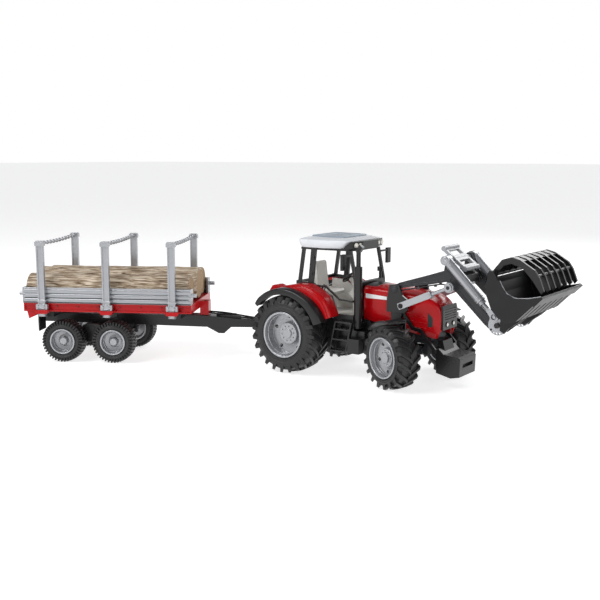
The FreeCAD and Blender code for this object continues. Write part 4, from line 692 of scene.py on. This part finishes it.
def logPieces():
    for index, (across, radius, start, end) in enumerate(logLook["logs"]):
        bm = bmesh.new()
        rings = []
        n = logLook["around"]
        for s in range(logLook["stations"] + 1):
            x = start + (end - start) * s / logLook["stations"]
            ring = []
            for k in range(n):
                a = 2 * math.pi * k / n
                spot = Vector((x * 0.016 + index * 7.3, math.cos(a) * 1.1, math.sin(a) * 1.1))
                crack = Vector((x * 0.045 + index * 3.1, math.cos(a) * 9.0, math.sin(a) * 9.0))
                r = radius - logLook["lump"] + logLook["lump"] * noise.noise(spot)
                r += logLook["rough"] * (noise.noise(crack) - 0.5 * abs(noise.noise(crack * 2.3)))
                r = min(r, radius - 0.05)
                ring.append((x, across + r * math.cos(a), logLook["rest"] + radius + r * math.sin(a)))
            rings.append(ring)
        # chamfered sawn ends
        centre = Vector((0, across, logLook["rest"] + radius))

        def shrunk(ring, factor, x):
            return [(x, centre.y + (p[1] - centre.y) * factor, centre.z + (p[2] - centre.z) * factor)
                    for p in ring]
        rings = ([shrunk(rings[0], 0.93, start)] + [shrunk(rings[0], 0.99, start + 1.0)] + rings[1:-1]
                 + [shrunk(rings[-1], 0.99, end - 1.0)] + [shrunk(rings[-1], 0.93, end)])
        loops = ringFaces(bm, rings, capped=False)
        bm.faces.new(list(reversed(loops[0]))).material_index = 1
        bm.faces.new(loops[-1]).material_index = 1
        obj = finishMesh("log%d" % (index + 1), bm, trailerPlace, "logs", ["bark", "sawn"],
                         smooth=35)
        if index == 0:
            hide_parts("logs")


logPieces()
print("logs made")


# stakes: H section posts with clamp heads, and a bead chain hung between each pair

stakeLook = {"spots": {"rear": -361.5, "middle": -258.8, "front": -156.1}, "face": 73.8, "depth": 6.4,
             "half": 5.5, "web": 3.4, "foot": 73.6, "head": 183.0, "top": 190.8, "beads": 11,
             "bead": 3.3, "sag": 2.0, "chainHeight": 187.0}


def stakePieces(word, x):
    look = stakeLook
    bm = bmesh.new()
    for sign in (-1, 1):
        near, far = look["face"], look["face"] + look["depth"]
        half, neck = look["half"], look["web"]
        # H section outline seen from above
        web = [(-half, near), (-neck, near), (-neck, near + 1.4), (neck, near + 1.4), (neck, near),
               (half, near), (half, far), (neck, far), (neck, far - 1.4), (-neck, far - 1.4), (-neck, far),
               (-half, far)]
        plate(bm, [(x + a, sign * b) for a, b in web], look["foot"], look["head"] + 3, "XY")
        y = sorted((sign * near, sign * far))
        block(bm, (x - half, x + half), y, (look["foot"], 86))
        block(bm, (x - 9, x + 9), y, (84.4, 92.5))
        # slotted clamp head with a cross screw
        y = sorted((sign * (near - 0.9), sign * (far + 0.9)))
        block(bm, (x - 7, x + 7), y, (look["head"], look["top"] - 1.6))
        block(bm, (x - 5.6, x + 5.6), y, (look["top"] - 1.6, look["top"]))
        block(bm, (x - 7.0, x + 7.0), y, (96.5, 99.5))
        for spot in ((x - 5, 88.4), (x + 5, 88.4)):
            button(bm, (spot[0], sign * far, spot[1]), (0, sign, 0), 1.5, 0.9, steps=12)
        button(bm, (x, sign * (far + 0.8), look["head"] + 3.6), (0, sign, 0), 1.8, 0.2, steps=12)
    finishMesh("stakePair" + word.title(), bm, trailerPlace, "stakes_" + word,
               ["silver"], replaces=("stake_pair_" + word,), smooth=30, bevel=0.3)
    bm = bmesh.new()
    count = look["beads"]
    reach = look["face"] - 1.2
    line = []
    for k in range(count + 1):
        y = -reach + 2 * reach * k / count
        z = look["chainHeight"] - look["sag"] * (1 - (y / reach) ** 2)
        line.append((x, y, z))
    for spot in line:
        bmesh.ops.create_uvsphere(bm, u_segments=12, v_segments=8, radius=look["bead"],
                                  matrix=Matrix.Translation(spot))
    pipe(bm, line, 0.7, smoothing=2, steps=8)
    finishMesh("beadChain" + word.title(), bm, trailerPlace, "stakes_" + word,
               ["silver"], smooth=60)


for word, x in stakeLook["spots"].items():
    stakePieces(word, x)
print("stakes made")


# loader dress: arm ribs, pivot bosses, pipes, ram trim, the ribs of the bucket, and grey strips on its side
# plates that paint a highlight along the rim

# pins are (forward, up) from the rear axle, or from the boom's pivot where the name says onBoom
boomAt = Vector((layout["boom"][0], 0, layout["boom"][1]))
loaderLook = {"pipe": 0.95, "armFace": 36.6, "rib": 0.75, "pivotBoss": 4.6,
              "liftPin": (178, 114), "liftAngle": -23.59, "liftAcross": 47, "ramPin": (249, 145),
              "tiltPin": (242, 181), "tiltAngle": 44.8, "tiltAcross": 41,
              "bucketPinOnBoom": (155, -35), "grapplePinOnBoom": (158, 36)}


def onBoom(x, z, y):
    return (boomAt.x + x, y, boomAt.z + z)


def ramRings(bm, pin, angle, across, profile, steps):
    # rings round a ram's barrel, from (along, radius) points that start at its pin
    place = Matrix.Translation((pin[0], 0, pin[1])) @ Matrix.Rotation(math.radians(angle), 4, "Y")
    loop = []
    for k in range(steps + 1):
        a = 2 * math.pi * k / steps
        loop.append([place @ Vector((px, across + r * math.cos(a), r * math.sin(a)))
                     for px, r in profile])
    ringFaces(bm, loop, capped=False)


def loaderDress():
    look = loaderLook
    for word, sign in sides:
        side = (0, sign, 0)
        # raised border round the arm's recessed panels
        bm = bmesh.new()
        runs = (((2, 4.6), (76, 18.0), (91, 5.6), (137, -37.5)),
                ((4, 8.0), (79, 31.4), (95, 18.6), (140, -24.0)))
        for run in runs:
            pipe(bm, [onBoom(x, z, sign * (look["armFace"] - 0.35)) for x, z in run], look["rib"],
                 steps=8, smoothing=1)
        button(bm, onBoom(0, 0, sign * 41), side, look["pivotBoss"], 1.2, steps=28)
        button(bm, onBoom(0, 0, sign * 42), side, look["pivotBoss"] * 0.5, 1.2, steps=6)
        finishMesh("armRibs" + word.title(), bm, tractorPlace, "boom",
                   ["darkGrey"], smooth=50)
        # steel pipes run under the boom and over the limb, held by clips
        bm = bmesh.new()
        for across, line in ((33.8, ((4, -2.5), (30, 3.2), (68, 11.6), (80, 9.6))),
                             (32.9, ((90, 27.5), (96, 23.0), (118, 1.8), (138, -18.5))),
                             (31.6, ((88, 30.0), (97, 24.4), (119, 3.2), (136, -14.5)))):
            pipe(bm, [onBoom(x, z, sign * across) for x, z in line], look["pipe"])
        for x, z, reach in ((34, 3.6, 35.2), (60, 9.4, 35.2), (103, 16.0, 33.9), (128, -8.4, 33.9)):
            block(bm, (boomAt.x + x - 1.4, boomAt.x + x + 1.4), sorted((sign * 30.9, sign * reach)),
                  (boomAt.z + z - 1.8, boomAt.z + z + 1.4))
        finishMesh("pipes" + word.title(), bm, tractorPlace, "boom",
                   ["darkGrey"], smooth=50)
        # gland ring and pin head of the lift ram
        bm = bmesh.new()
        x, z = look["liftPin"]
        ramRings(bm, look["liftPin"], look["liftAngle"], sign * look["liftAcross"],
                 [(46.5, 5.2), (48.7, 5.2), (48.7, 2.7), (46.5, 2.7)], 24)
        button(bm, (x, sign * 51.6, z), side, 3.6, 0.8, steps=24, matIndex=1)
        finishMesh("liftTrim" + word.title(), bm, tractorPlace, "lift_barrels",
                   ["silver", "black"])
        # pin heads where the lift rams meet the boom
        bm = bmesh.new()
        x, z = look["ramPin"]
        button(bm, (x, sign * 49.7, z), side, 5.3, 0.8, steps=28)
        button(bm, (x, sign * 50.5, z), side, 2.6, 0.6, steps=20, matIndex=1)
        finishMesh("ramPins" + word.title(), bm, tractorPlace, "boom",
                   ["silver", "black"])
        # collars and pin head of the tilt ram
        bm = bmesh.new()
        x, z = look["tiltPin"]
        for along, radius in ((8, 6.9), (66, 6.9), (70, 6.8)):
            ramRings(bm, look["tiltPin"], look["tiltAngle"], sign * look["tiltAcross"],
                     [(along, radius - 0.6), (along + 0.5, radius), (along + 2.0, radius),
                      (along + 2.5, radius - 0.6)], 32)
        button(bm, (x, sign * 47.5, z), side, 5.2, 1.0, steps=28)
        button(bm, (x, sign * 48.4, z), side, 2.0, 0.6, steps=6)
        finishMesh("tiltTrim" + word.title(), bm, tractorPlace, "tilt_barrels",
                   ["silver"])
        # bucket pin head, and a raised grey strip along the side plate's rim that paints a highlight there
        bm = bmesh.new()
        x0, z0 = look["bucketPinOnBoom"]
        button(bm, onBoom(x0, z0, sign * 42.6), side, 3.6, 1.4, steps=24, matIndex=1)
        rim = [(15.2, 64.0), (18.4, 57.4), (25.4, 48.3), (35.8, 43.7), (52.8, 44.6), (69.5, 48.2)]
        pipe(bm, [onBoom(x0 + x, z0 + z, sign * 72.2) for x, z in rim], look["rib"], steps=8,
             smoothing=3)
        finishMesh("bucketPinAndRimHighlight" + word.title(), bm, tractorPlace, "bucket",
                   ["grey", "black"])
    # ribs down the back of the bucket, at (forward, up, and the way the shell faces)
    bm = bmesh.new()
    x0, z0 = look["bucketPinOnBoom"]
    for y in (-60, -40, -20, 0, 20, 40, 60):
        rings = []
        for x, z, nx, nz in ((-3.6, 55, -1, 0), (-1.9, 43, -0.95, -0.2), (4.6, 27.2, -0.8, -0.6),
                             (13.6, 17, -0.55, -0.83), (25.6, 11.2, 0, -1), (38, 14.6, 0.5, -0.87),
                             (62, 38.6, 0.7, -0.7)):
            px, pz = x0 + x, z0 + z
            rings.append([onBoom(px + nx * out, pz + nz * out, y + wide)
                          for out, wide in ((-0.6, -1.2), (1.1, -0.8), (1.1, 0.8), (-0.6, 1.2))])
        ringFaces(bm, rings)
    finishMesh("bucketRibs", bm, tractorPlace, "bucket", ["bucket"])


def grappleDress():
    # a thin curved skin closes the back of the tines
    bm = bmesh.new()
    x0, z0 = loaderLook["grapplePinOnBoom"]
    line = [(4, 4), (10.5, 14.2), (16, 16.6), (22, 18.4), (29, 16.8), (36, 13.6), (44, 8.6)]
    rings = [[onBoom(x0 + x, z0 + z, -59), onBoom(x0 + x, z0 + z, 59),
              onBoom(x0 + x - 0.3, z0 + z - 1.2, 59), onBoom(x0 + x - 0.3, z0 + z - 1.2, -59)]
             for x, z in line]
    ringFaces(bm, rings)
    finishMesh("grappleSkin", bm, tractorPlace, "grapple", ["bucket"], smooth=40)


loaderDress()
grappleDress()
print("loader dressed")


# cab dress: levers, door hinges, bars on the step treads and the weight's chequered top

cabLook = {"lever": 0.9, "knob": 1.8}


def cabDress():
    bm = bmesh.new()
    for y, x in ((-27, 30), (-31, 36), (-35, 33)):
        pipe(bm, [(x, y, 116), (x + 1, y, 122), (x + 3, y, 127)], cabLook["lever"], steps=8)
        bmesh.ops.create_uvsphere(bm, u_segments=14, v_segments=10, radius=cabLook["knob"],
                                  matrix=Matrix.Translation((x + 3.4, y, 128)))
    finishMesh("cabLevers", bm, tractorPlace, "tractor", ["black"], smooth=50)
    for word, sign in sides:
        bm = bmesh.new()
        # door hinges, and bars across the step treads
        for x, z in ((29.4, 172), (26.4, 148)):
            block(bm, (x - 2.4, x + 2.4), sorted((sign * 49.6, sign * 51.2)), (z - 2.2, z + 2.2))
        for height in (39, 56, 71, 81.6):
            lean = 67 + (height - 38) * 0.22
            for k in range(6):
                x = lean + 2.2 + 4.2 * k
                block(bm, (x, x + 2.0), sorted((sign * 53.6, sign * 61.4)), (height + 1.9, height + 2.6))
        finishMesh("cabTrim" + word.title(), bm, tractorPlace, "tractor", ["black"],
                   smooth=30, bevel=0.2)


def weightDress():
    # raised chequers on the sloping top of the front weight
    bm = bmesh.new()
    for i in range(4):
        for j in range(7):
            x = layout["wheelbase"] + 52 + 5.2 * i
            y = -21 + 7 * j
            z = 47.35 - (x - layout["wheelbase"] - 49) * 0.087
            long, wide = (1.9, 0.6) if (i + j) % 2 else (0.6, 1.9)
            block(bm, (x - long, x + long), (y - wide, y + wide), (z - 0.6, z + 0.45))
    finishMesh("weightChequers", bm, tractorPlace, "tractor", ["darkGrey"],
               smooth=30, bevel=0.15)


cabDress()
weightDress()
print("cab dressed")


# trailer dress: bolts along the bed, ribs on the side boards and two coupling hoses

trailerLook = {"firstBolt": -142, "boltPitch": 33.0, "bolt": 1.3, "ribs": 3, "ribLow": 98.2, "ribPitch": 7.2,
               "ribTall": 5.2, "ribDeep": 1.15, "boardFace": 72.4, "boardWall": 1.8, "boardStart": -393.6,
               "boardEnd": -128.4}


def trailerDress():
    look = trailerLook
    for word, sign in sides:
        bm = bmesh.new()
        for k in range(8):
            x = look["firstBolt"] - k * look["boltPitch"]
            button(bm, (x, sign * 70.6, 88.5), (0, sign, 0), look["bolt"], 0.8, steps=12)
        finishMesh("frameBolts" + word.title(), bm, trailerPlace, "trailer", ["darkRed"])
        # rounded ribs along the side board, with dark strips between them as painted shade in the grooves
        bm = bmesh.new()
        for face, out in ((look["boardFace"], 1), (look["boardFace"] - look["boardWall"], -1)):
            for row in range(look["ribs"]):
                mid = look["ribLow"] + row * look["ribPitch"]
                rings = []
                for x in (look["boardStart"], look["boardEnd"]):
                    ring = []
                    for k in range(9):
                        t = math.pi * k / 8
                        ring.append((x, sign * (face + out * (0.02 + look["ribDeep"] * math.sin(t))),
                                     mid - look["ribTall"] / 2 * math.cos(t)))
                    rings.append(ring + [(x, sign * (face - out * 0.3), mid)])
                ringFaces(bm, rings)
                # a dark strip in each groove is painted shade
                low = mid - look["ribPitch"] / 2
                edge, root = sign * (face + out * 0.06), sign * (face - out * 0.3)
                rings = [[(x, edge, low - 0.8), (x, edge, low + 0.8), (x, root, low)]
                         for x in (look["boardStart"], look["boardEnd"])]
                ringFaces(bm, rings, matIndex=1)
        finishMesh("boardRibs" + word.title(), bm, trailerPlace, "trailer",
                   ["board", "darkGrey"], smooth=50)
    bm = bmesh.new()
    pipe(bm, [(-34, 3, 62.4), (-60, 4.2, 66.0), (-90, 4.6, 70.4), (-122, 4.0, 72.5)], 1.3)
    pipe(bm, [(-34, -2, 62.4), (-64, -3.4, 65.2), (-92, -3.8, 69.2), (-124, -3.6, 72.0)], 1.1)
    finishMesh("trailerHoses", bm, trailerPlace, "trailer", ["black"], smooth=50)


trailerDress()
print("trailer dressed")


# the kept CAD nodes get their materials, and softened edges

nodeLooks = {
    "red": ["trailer_bed"],
    "black": ["cab_frame", "grille", "roof_visor", "mirrors", "exhaust_stack", "steps_right", "steps_left",
              "front_weight", "steering_wheel", "grapple", "boom_cross_tube", "steering_knuckle_right",
              "steering_knuckle_left", "trailer_chassis", "bogie_frame", "headlights",
              "loader_brackets"],
    "darkGrey": ["tractor_chassis", "engine_block", "front_axle", "tie_rod", "boom_arm_right",
                 "boom_arm_left"],
    "rim": ["front_rim_right", "front_rim_left", "rear_rim_right", "rear_rim_left",
            "trailer_wheelset_front", "trailer_wheelset_rear"],
    "silver": ["lift_cylinders", "lift_rods", "tilt_cylinders", "tilt_rods", "tilt_discs",
               "hitch_pin"],
    "grey": ["tilt_handle"],
    "beige": ["cab_interior", "seat"],
    "lamp": ["work_lamps"],
    "board": ["side_board_right", "side_board_left"],
    "bucket": ["bucket"],
}


def dressNodes():
    for lookName, names in nodeLooks.items():
        for name in names:
            obj = frame["nodes"][name]
            if not obj.data.materials:
                obj.data.materials.append(mats[lookName])
            for i in range(len(obj.data.materials)):
                obj.data.materials[i] = mats[lookName]


dressNodes()
print("nodes dressed")


# stage: pale floor, soft light from above, and a camera ahead of the right front corner

stageLook = {"sky": (1.0, 1.0, 1.0), "overhead": (0.16, 0.165, 0.175), "fadeLow": 0.16,
             "fadeHigh": 0.42, "skyStrength": 1.0, "floor": 0.5, "floorGlow": 0.74, "keyPower": 34.0,
             "fillPower": 7.0, "rimPower": 18.0,
             "cameraSpot": (796.5, -1148.8, 321.0), "azimuth": 35.74, "pitch": 9.01, "lens": 55.01}


def areaLight(name, spot, target, power, size):
    light = bpy.data.lights.new(name, "AREA")
    light.energy = power
    light.size = size
    obj = bpy.data.objects.new(name, light)
    bpy.context.scene.collection.objects.link(obj)
    obj.location = spot
    obj.rotation_mode = "QUATERNION"
    obj.rotation_quaternion = (Vector(target) - Vector(spot)).to_track_quat("-Z", "Y")


def makeStage():
    mesh = bpy.data.meshes.new("floor")
    mesh.from_pydata([(-30, -30, 0), (30, -30, 0), (30, 30, 0), (-30, 30, 0)], [], [(0, 1, 2, 3)])
    floor = bpy.data.objects.new("floor", mesh)
    bpy.context.scene.collection.objects.link(floor)
    mat = bpy.data.materials.new("floorPaint")
    mat.use_nodes = True
    shade = mat.node_tree.nodes["Principled BSDF"]
    shade.inputs["Base Color"].default_value = (stageLook["floor"],) * 3 + (1,)
    shade.inputs["Roughness"].default_value = 0.9
    shade.inputs["Specular IOR Level"].default_value = 0.1
    shade.inputs["Emission Color"].default_value = (*stageLook["sky"], 1)
    shade.inputs["Emission Strength"].default_value = stageLook["floorGlow"]
    mesh.materials.append(mat)
    world = bpy.data.worlds.new("studio")
    world.use_nodes = True
    # bright round the horizon, dimmer overhead, so glossy faces get contrast
    tree = world.node_tree
    back = tree.nodes["Background"]
    coords = node(tree, "ShaderNodeTexCoord")
    height = node(tree, "ShaderNodeSeparateXYZ")
    fade = node(tree, "ShaderNodeValToRGB")
    fade.color_ramp.elements[0].position = stageLook["fadeLow"]
    fade.color_ramp.elements[1].position = stageLook["fadeHigh"]
    fade.color_ramp.elements[0].color = (*stageLook["sky"], 1)
    fade.color_ramp.elements[1].color = (*stageLook["overhead"], 1)
    link(tree, coords.outputs["Generated"], height.inputs["Vector"])
    link(tree, height.outputs["Z"], fade.inputs["Fac"])
    link(tree, fade.outputs["Color"], back.inputs["Color"])
    back.inputs["Strength"].default_value = stageLook["skyStrength"]
    bpy.context.scene.world = world
    bpy.context.scene.view_settings.view_transform = "Standard"
    areaLight("key", (-0.7, -1.3, 1.7), (0, 0, 0.08), stageLook["keyPower"], 1.3)
    areaLight("fill", (1.5, -0.9, 0.8), (0.1, 0, 0.1), stageLook["fillPower"], 1.2)
    areaLight("rim", (0.3, 1.6, 1.3), (0, 0, 0.1), stageLook["rimPower"], 1.2)
    lens = bpy.data.cameras.new("camera")
    lens.lens = stageLook["lens"]
    lens.clip_start = 0.01
    camera = bpy.data.objects.new("camera", lens)
    bpy.context.scene.collection.objects.link(camera)
    camera.location = tractorPlace @ Vector(stageLook["cameraSpot"])
    a, e = math.radians(stageLook["azimuth"]), math.radians(stageLook["pitch"])
    gaze = -Vector((math.sin(a) * math.cos(e), -math.cos(a) * math.cos(e), math.sin(e)))
    camera.rotation_mode = "QUATERNION"
    camera.rotation_quaternion = gaze.to_track_quat("-Z", "Y")
    bpy.context.scene.camera = camera


makeStage()
print("stage set")
